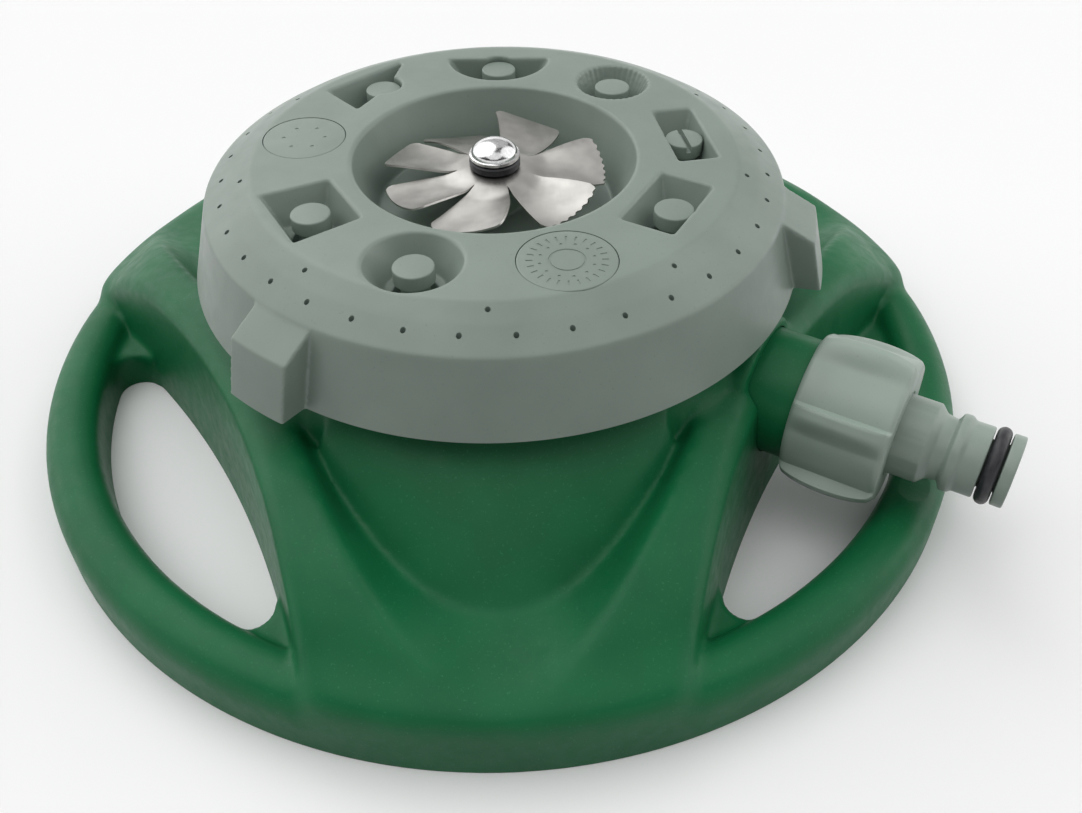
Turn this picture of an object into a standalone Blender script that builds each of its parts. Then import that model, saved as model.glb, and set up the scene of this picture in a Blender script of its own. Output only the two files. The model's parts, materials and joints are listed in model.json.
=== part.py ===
"""Lawn sprinkler with a nine-position dial, in metres, +Z up.

The origin is on the dial's axis at ground level. The base has three equal panels, the
first towards -Y, joined by three curved grips. The inlet leaves through the opening
between the first and the third panel.
"""
import bpy
from math import acos, asin, atan2, cos, hypot, pi, radians, sin, sqrt
from mathutils import Matrix, Vector

MM = 0.001
GAP = 0.3 * MM                       # between faces that touch on the real object
WALL = 2.5 * MM                      # of the base

# Dial in plan, from the bowl outwards
BOWL_FLOOR_R = 26.0 * MM
BOWL_FLARE = 4.6 * MM                # the bowl's rim beyond its floor
BOWL_RIM_R = BOWL_FLOOR_R + BOWL_FLARE
BOWL_TO_PLUGS = 11.7 * MM
PLUG_PCR = BOWL_RIM_R + BOWL_TO_PLUGS          # radius of the circle of plugs and ports
PLUGS_TO_EDGE = 9.7 * MM
DIAL_FLAT_R = PLUG_PCR + PLUGS_TO_EDGE
SHOULDER_STEP = 4.6 * MM             # from the flat top out to the shoulder
BEVEL_STEP = 5.7 * MM                # from the shoulder out to the bevel's lower edge
SKIRT_SPREAD = 4.7 * MM              # from there out to the skirt's lower edge
LOBE_STANDOUT = 5.7 * MM             # finger lobe beyond the skirt
CHAMBER_WALL = 3.4 * MM              # between the bowl's rim and the chambers
BEVEL_WALL = 1.8 * MM                # between the chambers and the bevel's edge
RIM_WALL = 2.3 * MM                  # round the chambers, over the plate's edge
CHAMBER_IN_R = BOWL_RIM_R + CHAMBER_WALL
CHAMBER_OUT_R = DIAL_FLAT_R + SHOULDER_STEP + BEVEL_STEP - BEVEL_WALL
CHAMBER_RIB = 1.8 * MM
PLATE_R = CHAMBER_OUT_R + RIM_WALL

# Base in plan: neck, side ridges and ring
NECK_INSET = 3.0 * MM                # neck's edge inside the plate's
NECK_R = PLATE_R - NECK_INSET
NECK_STEPS = [(0.6 * MM, 4.0 * MM), (2.2 * MM, 7.5 * MM)]   # (out, down) from the deck's edge
NECK_SPREAD = 4.6 * MM
NECK_FOOT_R = NECK_R + NECK_SPREAD
WAIST_STANDOUT = 4.8 * MM
WAIST = NECK_FOOT_R + WAIST_STANDOUT           # side ridge from the axis, at the opening's middle
RIDGE_CURL = 2.28                    # side ridge: WAIST + RIDGE_CURL * t * t, in 1/m
WALL_LEAN = 0.0926                   # side wall's spread per unit of height
RIDGE_STRIP = 3.0 * MM               # width of the slanted strip beside the ridge
RIDGE_DROP = 1.7 * MM                # fall of that strip
NUT_STANDOFF = 7.0 * MM              # nut from the side ridge
NUT_START = WAIST + NUT_STANDOFF               # stations along the inlet, from the dial's axis
NUT_LENGTH = 20.1 * MM
NUT_END = NUT_START + NUT_LENGTH
GRIP_WIDTH = 12.0 * MM
RING_R = NUT_END + GAP + GRIP_WIDTH            # outer radius of the base on the ground
PANELS = 3
PANEL_STEP = 2 * pi / PANELS
FIRST_PANEL_AZ = radians(-90)

# Grips
GRIP_SIDE_H = 7.5 * MM               # upright part of the grip's outer face
GRIP_TOP_H = 13.8 * MM               # crest of the grip
GRIP_INNER_H = 9.2 * MM              # top of the grip's inner face
GRIP_CREST_SHARE = 0.52              # crest's place across the width, from the inside
GRIP_FILLET = 5.0 * MM               # rounds the opening's sharp corners
GRIP_ROOT = radians(0.9)             # how far the grip's ends reach into the panels
BELOW = 2.0 * MM                     # depth that is trimmed off at ground level
HOLLOW_BELOW = 4.0 * MM
GROUND_CUT = 6.0 * MM

# Inlet across its axis
INLET_AZ = radians(-31)
THREAD_R = 13.2 * MM
THREAD_DEPTH = 1.0 * MM
SPIGOT_R = THREAD_R - THREAD_DEPTH
SPIGOT_WALL = 4.2 * MM
SPIGOT_BORE_R = SPIGOT_R - SPIGOT_WALL
NUT_WALL = 1.7 * MM
NUT_BODY_R = THREAD_R + GAP + NUT_WALL
NUT_FIN_H = 2.8 * MM
NUT_FIN_R = NUT_BODY_R + NUT_FIN_H
NUT_CLEARANCE = 8.5 * MM             # nut's wings above the ground
INLET_Z = NUT_FIN_R + NUT_CLEARANCE

# Levels
DECK_RISE = 19.5 * MM                # deck above the inlet's axis
DECK_Z = INLET_Z + DECK_RISE
PLATE_CLEARANCE = 1.2 * MM           # room for the slip ring
PLATE_Z = DECK_Z + PLATE_CLEARANCE
PLATE_T = 2.3 * MM
PLATE_TOP_Z = PLATE_Z + PLATE_T
BOWL_FLOOR_T = 2.0 * MM
BOWL_FLOOR_Z = PLATE_TOP_Z + GAP + BOWL_FLOOR_T
BOWL_DEPTH = 12.6 * MM
DIAL_TOP_Z = BOWL_FLOOR_Z + BOWL_DEPTH
SHOULDER_DROP = 2.0 * MM
BEVEL_DROP = 3.4 * MM
SKIRT_LAP = 3.0 * MM                 # skirt's lower edge below the deck
SHOULDER = (DIAL_FLAT_R + SHOULDER_STEP, DIAL_TOP_Z - SHOULDER_DROP)
BEVEL = (SHOULDER[0] + BEVEL_STEP, SHOULDER[1] - BEVEL_DROP)
SKIRT = (BEVEL[0] + SKIRT_SPREAD, DECK_Z - SKIRT_LAP)

# Panels: the dome's crown as shares of its reach and of its rise
CROWN_INSET = 2.3 * MM               # the curve starts inside the deck's edge
CROWN_IN_R = NECK_R - CROWN_INSET
CROWN_DROP = 10.4 * MM               # crown's highest part below the deck
CROWN_TOP_H = DECK_Z - CROWN_DROP
RIM_STANDOUT = 1.0 * MM              # ring's edge at a panel above the grip's crest
RIM_H = GRIP_TOP_H + RIM_STANDOUT
CROWN_SHAPE = [(0, 1), (0.225, 0.889), (0.45, 0.769), (0.597, 0.63), (0.734, 0.418),
               (0.871, 0.168), (1, 0)]
CROWN = [(CROWN_IN_R + reach * (RING_R - CROWN_IN_R), RIM_H + rise * (CROWN_TOP_H - RIM_H))
         for reach, rise in CROWN_SHAPE]
SHELL_SINK = 2.9 * MM                # upright thickness of the panels' sloping tops
VEE_OUT_INSET = 3.5 * MM             # outer vee's tip from the ring
VEE_OUT_TIP = RING_R - VEE_OUT_INSET
VEE_OUT_CURL = 33.9                  # vee: tip - curl * x * x, in 1/m
CRESCENT = 18.3 * MM                 # between the two tips
VEE_IN_TIP = VEE_OUT_TIP - CRESCENT
VEE_IN_CURL = 23.9
VEE_IN_STANDOUT = 3.6 * MM
VEE_IN_H = RIM_H + VEE_IN_STANDOUT   # height of the inner vee's tip
VEE_IN_RISE = 8.7                    # how fast the inner vee climbs sideways, in 1/m
VEES_MEET = sqrt(CRESCENT / (VEE_OUT_CURL - VEE_IN_CURL))      # sideways
TONGUE_HALF = atan2(VEES_MEET, VEE_OUT_TIP - VEE_OUT_CURL * VEES_MEET**2)
TONGUE_RISE = 2.4 * MM               # tongue above the dome where it leaves the neck
TONGUE_BULGE = 1.0 * MM

# Dial's details
SHELL_T = 2.5 * MM
SKIRT_T = 2.4 * MM
BUSH_R = 3.0 * MM
BUSH_FLANGE = 1.6 * MM
BUSH_FLANGE_R = BUSH_R + BUSH_FLANGE
BUSH_FLANGE_T = 1.7 * MM
POST_EDGE = 0.9 * MM
POST_R = BUSH_FLANGE_R + POST_EDGE   # post that carries the spinner
POST_DROP = 7.2 * MM
POST_TOP_Z = DIAL_TOP_Z - POST_DROP
PATTERNS = 9
PATTERN_STEP = 2 * pi / PATTERNS
PORT_AZ = radians(-30.5)             # azimuth of the working port
PATTERN_ORDER = ["corner", "slot", "flute", "half", "wedge", "mist", "fan", "cone", "shower"]
PLUG_R = 4.1 * MM
PLUG_DROP = 1.2 * MM                 # plug's top below the dial's
PLUG_TOP_Z = DIAL_TOP_Z - PLUG_DROP
PLUG_PIN_R = 1.7 * MM
PLUG_PIN_DROP = 3.2 * MM
POCKET_DEPTH = 7.0 * MM
POCKET_FLOOR_Z = DIAL_TOP_Z - POCKET_DEPTH
CUP_T = 1.8 * MM
POCKET_TAPER = 0.62                  # pocket's floor as a share of its mouth
LOBES_AZ = PORT_AZ - PATTERN_STEP    # azimuth midway between the two front finger lobes
LOBE_SPREAD = radians(58.2)          # from there to each of them; the third is opposite
LOBE_WIDTH = 14.8 * MM
LOBE_R = SKIRT[0] + LOBE_STANDOUT    # lower edge of a finger lobe
LOBE_FLARE = 3.1 * MM                # its upper edge inside the lower one
DIAL_STEPS = 60
OUTER_JETS = 36
OUTER_JET_STEP = 1.9 * MM            # outer jets beyond the shoulder
OUTER_JET_PCR = SHOULDER[0] + OUTER_JET_STEP
OUTER_JET_AZ = radians(-25.5)
INNER_JETS = 9
INNER_JET_STEP = 1.8 * MM            # inner jets beyond the flat top
INNER_JET_PCR = DIAL_FLAT_R + INNER_JET_STEP
INNER_JET_AZ = radians(-50.5)
FLOOR_JETS = 6
FLOOR_JET_INSET = 7.0 * MM
FLOOR_JET_PCR = BOWL_FLOOR_R - FLOOR_JET_INSET
FLOOR_JET_R = 1.6 * MM
JET_R = 0.5 * MM
SHOWER_R = 9.7 * MM
SHOWER_COUNTS = [6, 12]              # holes in each ring
SHOWER_PCRS = [2.4 * MM, 7.2 * MM]
MIST_R = 9.0 * MM
MIST_COUNTS = [6]
MIST_PCRS = [4.5 * MM]
INSERT_STEP = 0.3 * MM               # inserts' middles beyond the circle of plugs
INSERT_PCR = PLUG_PCR + INSERT_STEP
INSERT_T = 1.2 * MM
INSERT_LEDGE = 2.0 * MM

# Mouths of the plug pockets as (radial, sideways) points from the plug, or radii
FAN_POCKET = [(-7.7 * MM, -8.4 * MM), (7.2 * MM, -9.8 * MM), (7.2 * MM, 9.8 * MM),
              (-7.7 * MM, 8.4 * MM)]
CONE_POCKET_R = 9.8 * MM
CORNER_POCKET = [(-7.5 * MM, -10.0 * MM), (4.3 * MM, -10.0 * MM), (4.3 * MM, 10.0 * MM),
                 (-7.5 * MM, 10.0 * MM)]
SLOT_POCKET = [(-4.4 * MM, -11.2 * MM), (4.6 * MM, -11.2 * MM), (4.6 * MM, 11.2 * MM),
               (-4.4 * MM, 11.2 * MM)]
FLUTE_POCKET_R = 8.5 * MM
HALF_POCKET_EDGE = 3.3 * MM
HALF_POCKET_R = 12.4 * MM
HALF_POCKET_MIDDLE = 4.2 * MM
WEDGE_POCKET = [(5.8 * MM, 11.8 * MM), (-6.1 * MM, 11.3 * MM), (-1.7 * MM, 0 * MM),
                (6.9 * MM, -10.7 * MM)]

# Chamber plate, its stem and its fasteners
PORT_R = 3.5 * MM
STEM_R = 7.0 * MM
STEM_HOLE_R = 2.1 * MM
STEM_HOLE_H = 14.0 * MM
BOSS_WALL = 3.2 * MM
BOSS_R = STEM_R + GAP + BOSS_WALL
BOSS_H = 16.0 * MM
BOSS_Z = DECK_Z - BOSS_H             # lower end of the base's pivot boss
STEM_STANDOUT = 0.6 * MM             # stem's end below the boss
PIVOT_WASHER_INSET = 0.5 * MM
PIVOT_WASHER_R = BOSS_R - PIVOT_WASHER_INSET
PIVOT_WASHER_T = 1.2 * MM
PIVOT_HEAD_R = 4.0 * MM
PIVOT_HEAD_H = 2.4 * MM
PLATE_SCREWS = 3
PLATE_SCREW_INSET = 3.7 * MM         # from the chambers' inner wall
PLATE_SCREW_PCR = CHAMBER_IN_R - PLATE_SCREW_INSET
PLATE_SCREW_AZ = radians(9.5)
PLATE_SCREW_R = 1.3 * MM
PLATE_SCREW_L = 8.0 * MM
PLATE_HEAD_R = 2.7 * MM
PLATE_HEAD_H = 1.1 * MM
SLIP_RING_W = 3.5 * MM
SLIP_RING_INSET = 2.3 * MM           # from the deck's edge
SLIP_RING_OUT_R = NECK_R - SLIP_RING_INSET
SLIP_RING_IN_R = SLIP_RING_OUT_R - SLIP_RING_W

# Click stop
DETENT_PCR = 20.0 * MM
DETENT_AZ = PORT_AZ + 4 * PATTERN_STEP
DETENT_R = 2.5 * MM
DETENT_DIP_R = 2.0 * MM
DETENT_GROOVE = 0.9 * MM
DETENT_DIP = 0.5 * MM
DETENT_HEAD_H = 6.5 * MM
DETENT_BOSS_WALL = 2.2 * MM
DETENT_H = 16.0 * MM
DETENT_FLOOR_Z = DECK_Z - DETENT_H
DETENT_FLOOR_T = 2.0 * MM
DETENT_NOSE = 2.0 * MM
DETENT_WIRE_R = 0.3 * MM

# Water way and port
SHANK_INSET = 0.6 * MM               # plain shank's end inside the nut
SHANK_END = NUT_START + SHANK_INSET
THREAD_INSET = 1.3 * MM
THREAD_START = NUT_START + THREAD_INSET
THREAD_CRESTS = 3
CHANNEL_TAIL = 10.8 * MM             # channel beyond the port, towards the axis
CHANNEL_END = PLUG_PCR - CHANNEL_TAIL
SADDLE_L = 19.2 * MM                 # the base's collar round the channel
SADDLE_START = WAIST - SADDLE_L
SADDLE_T = 1.9 * MM
SEAL_R = 7.4 * MM
SEAL_BORE_R = 3.4 * MM
SEAL_H = 6.0 * MM
SEAL_SPRING_H = 7.4 * MM
SEAL_SEAT_Z = PLATE_Z - GAP - SEAL_H - SEAL_SPRING_H
SEAL_WIRE_R = 0.5 * MM
CURL_STEPS = 8                       # points along each turn of a spring
TOWER_WALL = 1.8 * MM
TOWER_R = SEAL_R + GAP + TOWER_WALL
TOWER_BORE_STEP = 1.2 * MM
TOWER_BORE_R = SEAL_BORE_R + TOWER_BORE_STEP
EAR_STANDOUT = 6.8 * MM
EAR_OUT = SPIGOT_R + EAR_STANDOUT    # screw ears' distance from the inlet's axis
EAR_R = 4.2 * MM
EAR_T = 3.0 * MM
EAR_RISE = 1.5 * MM
EAR_TOP_Z = INLET_Z + EAR_RISE
EAR_SCREW_R = 1.4 * MM
EAR_HEAD_R = 3.0 * MM
EAR_HEAD_H = 2.0 * MM
EAR_SCREW_BITE = 9.0 * MM

# Nut, hose tail and seals
NUT_FINS = 6
NUT_FIN_AT = radians(20)             # first wing's turn about the inlet
NUT_FIN_SHAPE = [(0, 0), (0.07, 0.95), (0.16, 1), (0.28, 0.3), (0.5, 0.05), (0.78, 0)]
NUT_END_ROUND = 0.8 * MM
NUT_END_WALL = 2.4 * MM
TAIL_FLANGE_T = 2.0 * MM
WASHER_T = 2.0 * MM
TAIL_FLANGE_END = NUT_END - NUT_END_WALL - GAP
TAIL_START = TAIL_FLANGE_END - TAIL_FLANGE_T
SPIGOT_END = TAIL_START - GAP - WASHER_T - GAP
TAIL_FLANGE_R = THREAD_R - GAP
TAIL_BARREL_R = 7.5 * MM
TAIL_COLLAR_STEP = 1.1 * MM
TAIL_COLLAR_R = TAIL_BARREL_R + TAIL_COLLAR_STEP
TAIL_COLLAR_L = 6.0 * MM             # collar beyond the nut
TAIL_COLLAR_END = NUT_END + TAIL_COLLAR_L
TAIL_FLUTES = 8
TAIL_FLUTE_DEPTH = 0.7 * MM
TAIL_NECK_DEPTH = 0.9 * MM
TAIL_NECK_R = TAIL_BARREL_R - TAIL_NECK_DEPTH
TAIL_NECK_L = 4.7 * MM
TAIL_RIDGE_W = 1.6 * MM
TAIL_RIDGE = (TAIL_COLLAR_END + TAIL_NECK_L, TAIL_COLLAR_END + TAIL_NECK_L + TAIL_RIDGE_W)
TAIL_RIDGE_H = 0.7 * MM
TAIL_RIDGE_R = TAIL_BARREL_R + TAIL_RIDGE_H
RIDGE_TO_O_RING = 6.5 * MM
O_RING_AT = TAIL_RIDGE[1] + RIDGE_TO_O_RING
O_RING_WIRE_R = 1.45 * MM
O_RING_STANDOUT = 0.65 * MM
O_RING_OUT_R = TAIL_BARREL_R + O_RING_STANDOUT
O_RING_TO_TIP = 4.2 * MM
TAIL_TIP = O_RING_AT + O_RING_TO_TIP
TAIL_BORE_R = 3.4 * MM

# Spinner
BLADES = 7
BLADE_AZ = radians(7)
ROTOR_CLEARANCE = 2.0 * MM           # blades' tips inside the bowl's floor
ROTOR_R = BOWL_FLOOR_R - ROTOR_CLEARANCE
ROTOR_T = 0.6 * MM
ROTOR_HUB_R = 8.0 * MM
BLADE_PITCH = 0.22                   # rise across a blade per unit of its width
BLADE_SLOT = 0.2                     # share of the pitch left open at the tip
ROTOR_Z = POST_TOP_Z + BUSH_FLANGE_T + 2 * GAP + ROTOR_T / 2
ROTOR_SCREW_R = 1.6 * MM
ROTOR_WASHER_R = 5.5 * MM
BUSH_STANDOUT = 1.5 * MM             # bush above the spinner
ROTOR_WASHER_Z = ROTOR_Z + ROTOR_T / 2 + BUSH_STANDOUT
ROTOR_WASHER_T = 1.6 * MM
ROTOR_HEAD_R = 5.4 * MM
ROTOR_HEAD_H = 3.7 * MM
ROTOR_SCREW_DEPTH = 5.0 * MM

GREEN = ((0.012, 0.155, 0.048), 0.42, 0.0)
GREY = ((0.29, 0.34, 0.31), 0.38, 0.0)
BLACK = ((0.02, 0.02, 0.022), 0.6, 0.0)
WHITE_PLASTIC = ((0.75, 0.75, 0.72), 0.45, 0.0)
ALUMINIUM = ((0.82, 0.83, 0.84), 0.28, 1.0)
STEEL = ((0.62, 0.63, 0.65), 0.3, 1.0)
BRASS = ((0.72, 0.52, 0.22), 0.35, 1.0)


def clear_scene():
    for old in list(bpy.data.objects):
        bpy.data.objects.remove(old, do_unlink=True)


def material(name, look):
    colour, roughness, metallic = look
    mat = bpy.data.materials.new(name)
    mat.use_nodes = True
    shader = mat.node_tree.nodes["Principled BSDF"]
    shader.inputs["Base Color"].default_value = (*colour, 1.0)
    shader.inputs["Roughness"].default_value = roughness
    shader.inputs["Metallic"].default_value = metallic
    return mat


def body(name, verts, faces, look=None, place=None):
    """A mesh object; without a look it is a cutter or a lump to be joined on."""
    mesh = bpy.data.meshes.new(name)
    mesh.from_pydata([tuple(v) for v in verts], [], faces)
    mesh.validate()
    obj = bpy.data.objects.new(name, mesh)
    bpy.context.collection.objects.link(obj)
    if place is not None:
        obj.matrix_world = place
    if look is None:
        obj.hide_render = True
        obj.display_type = "WIRE"
    else:
        mesh.materials.append(material(name, look))
        mesh.shade_smooth()
        mesh.set_sharp_from_angle(angle=radians(35))
    return obj


def combine(target, tool, operation="DIFFERENCE"):
    """Boolean step; the tool may be several shapes that overlap each other."""
    step = target.modifiers.new(tool.name, "BOOLEAN")
    step.operation = operation
    step.solver = "EXACT"
    step.use_self = True
    step.object = tool


def cut(target, tool):
    combine(target, tool)


def add(target, tool):
    combine(target, tool, "UNION")


def rings_to_faces(count, steps, loop=False):
    """Quads between rings of equal size, wound for rings that run anticlockwise upwards."""
    faces = []
    for k in range(count if loop else count - 1):
        low, high = k * steps, ((k + 1) % count) * steps
        for j in range(steps):
            i = (j + 1) % steps
            faces.append((low + j, low + i, high + i, high + j))
    return faces


def loft(rings, loop=False):
    """Closed body through rings; solid ends unless the rings join into a loop."""
    steps = len(rings[0])
    verts = [p for ring in rings for p in ring]
    faces = rings_to_faces(len(rings), steps, loop)
    if not loop:
        faces.append(tuple(reversed(range(steps))))
        top = (len(rings) - 1) * steps
        faces.append(tuple(range(top, top + steps)))
    return verts, faces


def circle(radius, z, steps, middle=(0, 0), start=0.0):
    return [(middle[0] + radius * cos(start + 2 * pi * k / steps),
             middle[1] + radius * sin(start + 2 * pi * k / steps), z) for k in range(steps)]


def turned(profile, steps, loop=False):
    """Body turned about Z. A solid's profile runs bottom to top; a loop's outer side too."""
    return loft([circle(r, z, steps) for r, z in profile], loop)


def rod(radius, low, high, steps, middle=(0, 0)):
    return loft([circle(radius, low, steps, middle), circle(radius, high, steps, middle)])


def merged(shapes):
    """Several separate closed shapes as one list of vertices and faces."""
    verts, faces = [], []
    for some_verts, some_faces in shapes:
        first = len(verts)
        verts += some_verts
        faces += [tuple(first + i for i in face) for face in some_faces]
    return verts, faces


def laid(shape, place):
    """The shape with its points moved to a place."""
    verts, faces = shape
    return [tuple(place @ Vector(v)) for v in verts], faces


def polar(radius, azimuth):
    return radius * cos(azimuth), radius * sin(azimuth)


def around(count, radius, azimuth):
    return [polar(radius, azimuth + 2 * pi * k / count) for k in range(count)]


def along_inlet():
    """Turns a body made about +Z so that it lies along the inlet, +Z pointing outwards."""
    outwards = Vector((cos(INLET_AZ), sin(INLET_AZ), 0))
    sideways = Vector((-sin(INLET_AZ), cos(INLET_AZ), 0))
    turn = Matrix((sideways, Vector((0, 0, 1)), outwards)).transposed().to_4x4()
    return Matrix.Translation((0, 0, INLET_Z)) @ turn


def share_of(value, low, high):
    return min(max((value - low) / (high - low), 0), 1)


def smooth_height(knots, r):
    """Height at radius r on a smooth curve through knots of (radius, height)."""
    slopes = []
    for k in range(len(knots)):
        a, b = knots[max(k - 1, 0)], knots[min(k + 1, len(knots) - 1)]
        slopes.append((b[1] - a[1]) / (b[0] - a[0]))
    k = 0
    while k < len(knots) - 2 and r > knots[k + 1][0]:
        k += 1
    (r0, z0), (r1, z1) = knots[k], knots[k + 1]
    span = r1 - r0
    t = (r - r0) / span
    return (z0 * (2 * t**3 - 3 * t**2 + 1) + z1 * (3 * t**2 - 2 * t**3)
            + slopes[k] * span * (t**3 - 2 * t**2 + t) + slopes[k + 1] * span * (t**3 - t**2))


def ridge_radius(phi, inset):
    """Side ridge's radius at the angle phi from the panel's middle."""
    alpha = PANEL_STEP / 2 - abs(phi)
    waist = WAIST - inset
    curl = RIDGE_CURL * sin(alpha) ** 2
    if curl < 1e-6:
        return waist / cos(alpha)
    root = cos(alpha) ** 2 - 4 * waist * curl
    return (cos(alpha) - sqrt(root)) / (2 * curl) if root > 0 else 10 * RING_R


def edge_radius(phi, inset=0.0):
    return min(RING_R - inset, ridge_radius(phi, inset))


def corner_angle():
    """Angle from a panel's middle to where its side ridge meets the ring."""
    b = 2 * WAIST * RIDGE_CURL + 1
    t2 = (-b + sqrt(b * b - 4 * RIDGE_CURL**2 * (WAIST**2 - RING_R**2))) / (2 * RIDGE_CURL**2)
    return PANEL_STEP / 2 - atan2(sqrt(t2), WAIST + RIDGE_CURL * t2)


def vee_radius(phi, tip, curl):
    bend = curl * sin(phi) ** 2
    if bend < 1e-6:
        return tip / cos(phi)
    return (-cos(phi) + sqrt(cos(phi) ** 2 + 4 * bend * tip)) / (2 * bend)


def panel_height(r, phi):
    """Height of the panel's upper face, with its two vees."""
    crown = smooth_height(CROWN, r)
    inner = vee_radius(phi, VEE_IN_TIP, VEE_IN_CURL)
    outer = vee_radius(phi, VEE_OUT_TIP, VEE_OUT_CURL)
    if abs(phi) >= TONGUE_HALF or r >= outer:
        return crown
    valley = VEE_IN_H + VEE_IN_RISE * (inner * sin(phi)) ** 2
    if r >= inner or inner < NECK_FOOT_R + WALL:
        share = share_of(r, inner, outer)
        return valley + share * (smooth_height(CROWN, outer) - valley)
    swell = 1 - (phi / TONGUE_HALF) ** 2
    top = smooth_height(CROWN, NECK_FOOT_R) + TONGUE_RISE * swell
    share = (r - NECK_FOOT_R) / (inner - NECK_FOOT_R)
    return top + share * (valley - top) + 4 * TONGUE_BULGE * swell * share * (1 - share)


def ridge_drop(phi):
    """The strip beside the ridge falls away; on the ring it fades out."""
    share = share_of(abs(phi), corner_angle() - radians(2), corner_angle() + radians(3))
    return RIDGE_DROP * share * share * (3 - 2 * share)


def panel_angles(on_ring, on_ridge):
    corner = corner_angle()
    half = PANEL_STEP / 2
    right = [corner * k / on_ring for k in range(on_ring)]
    right += [corner + (half - corner) * k / on_ridge for k in range(on_ridge)]
    return [-a for a in reversed(right[1:])] + right + [half]


def shell_column(phi, rows, foot_z, inset=0.0, sink=0.0):
    """(radius, height, angle) from the deck's edge out and down to the foot, at one angle."""
    tongue, crescent, outer_rows = rows
    column = [(NECK_R - inset, DECK_Z - sink)]
    column += [(NECK_R + out - inset, DECK_Z - down - sink) for out, down in NECK_STEPS]
    start = NECK_FOOT_R - inset
    edge = edge_radius(phi, inset)
    span = edge - RIDGE_STRIP - start
    beside = share_of(abs(phi), 0.8 * TONGUE_HALF, 1.1 * TONGUE_HALF)
    inner = (vee_radius(phi, VEE_IN_TIP, VEE_IN_CURL) - start) / span
    inner = max(inner, 0.1 + 0.3 * beside)
    outer = (vee_radius(phi, VEE_OUT_TIP, VEE_OUT_CURL) - start) / span
    outer = min(max(outer, inner + 0.1 + 0.15 * beside), 0.97)
    shares = [inner * k / tongue for k in range(tongue)]
    shares += [inner + (outer - inner) * k / crescent for k in range(crescent)]
    shares += [outer + (1 - outer) * k / outer_rows for k in range(outer_rows + 1)]
    for share in shares:
        r = start + share * span
        column.append((r, panel_height(r, phi) - sink))
    rim_z = panel_height(edge, phi) - ridge_drop(phi) - sink
    column.append((edge, rim_z))
    lean = WALL_LEAN * (rim_z - foot_z) if abs(phi) > corner_angle() else 0.0
    alpha = PANEL_STEP / 2 - abs(phi)
    s, t = edge * cos(alpha) + lean, edge * sin(alpha)
    column = [(r, z, abs(phi)) for r, z in column]
    column.append((min(hypot(s, t), RING_R - inset), foot_z, PANEL_STEP / 2 - atan2(t, s)))
    return column


def base_shell(angles, rows, foot_z, inset=0.0, sink=0.0):
    """The three panels as one solid, or the hollow inside them when inset."""
    columns = []
    for panel in range(PANELS):
        middle = FIRST_PANEL_AZ + panel * PANEL_STEP
        for phi in angles[:-1]:
            side = 1 if phi >= 0 else -1
            column = shell_column(phi, rows, foot_z, inset, sink)
            columns.append([(*polar(r, middle + side * turn), z) for r, z, turn in column])
    rings = [list(ring) for ring in zip(*columns)]
    return loft(list(reversed(rings)))


def grip_section():
    """Across the grip as (radius, height), outer side first, then over the top."""
    inner_r = RING_R - GRIP_WIDTH
    crest_r = inner_r + GRIP_WIDTH * GRIP_CREST_SHARE
    section = []
    for k in range(5):
        a = pi / 2 * k / 4
        section.append((crest_r + (RING_R - crest_r) * cos(a),
                        GRIP_SIDE_H + (GRIP_TOP_H - GRIP_SIDE_H) * sin(a)))
    for k in range(1, 4):
        a = pi / 2 * k / 3
        section.append((crest_r - (crest_r - inner_r) * sin(a),
                        GRIP_INNER_H + (GRIP_TOP_H - GRIP_INNER_H) * cos(a)))
    return section


def swept(section, first_az, last_az, steps):
    """Body with one section of (radius, height), anticlockwise, turned part of the way round."""
    rings = []
    for k in range(steps + 1):
        az = first_az + (last_az - first_az) * k / steps
        rings.append([(*polar(r, az), z) for r, z in section])
    return loft(list(reversed(rings)))


def grip(opening_az):
    """Curved bar across one opening, its ends buried in the panels' walls."""
    half = PANEL_STEP / 2 - corner_angle() + GRIP_ROOT
    section = [(RING_R, -BELOW), *grip_section(), (RING_R - GRIP_WIDTH, -BELOW)]
    return swept(section, opening_az - half, opening_az + half, 16)


def bisect(rising, low, high):
    for _ in range(40):
        middle = (low + high) / 2
        low, high = (middle, high) if rising(middle) < 0 else (low, middle)
    return low


def facing_up(outline):
    """The outline turned anticlockwise as seen from above."""
    area = sum(a[0] * b[1] - b[0] * a[1] for a, b in zip(outline, outline[1:] + outline[:1]))
    return outline if area > 0 else list(reversed(outline))


def wall_foot(t):
    """Side wall's distance out at ground level, t to the side of the opening's middle."""
    return WAIST + RIDGE_CURL * t * t + WALL_LEAN * CROWN[1][1]


def fillet_centre(t):
    slope = 2 * RIDGE_CURL * t
    return wall_foot(t) + GRIP_FILLET * sqrt(1 + slope * slope), t


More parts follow.
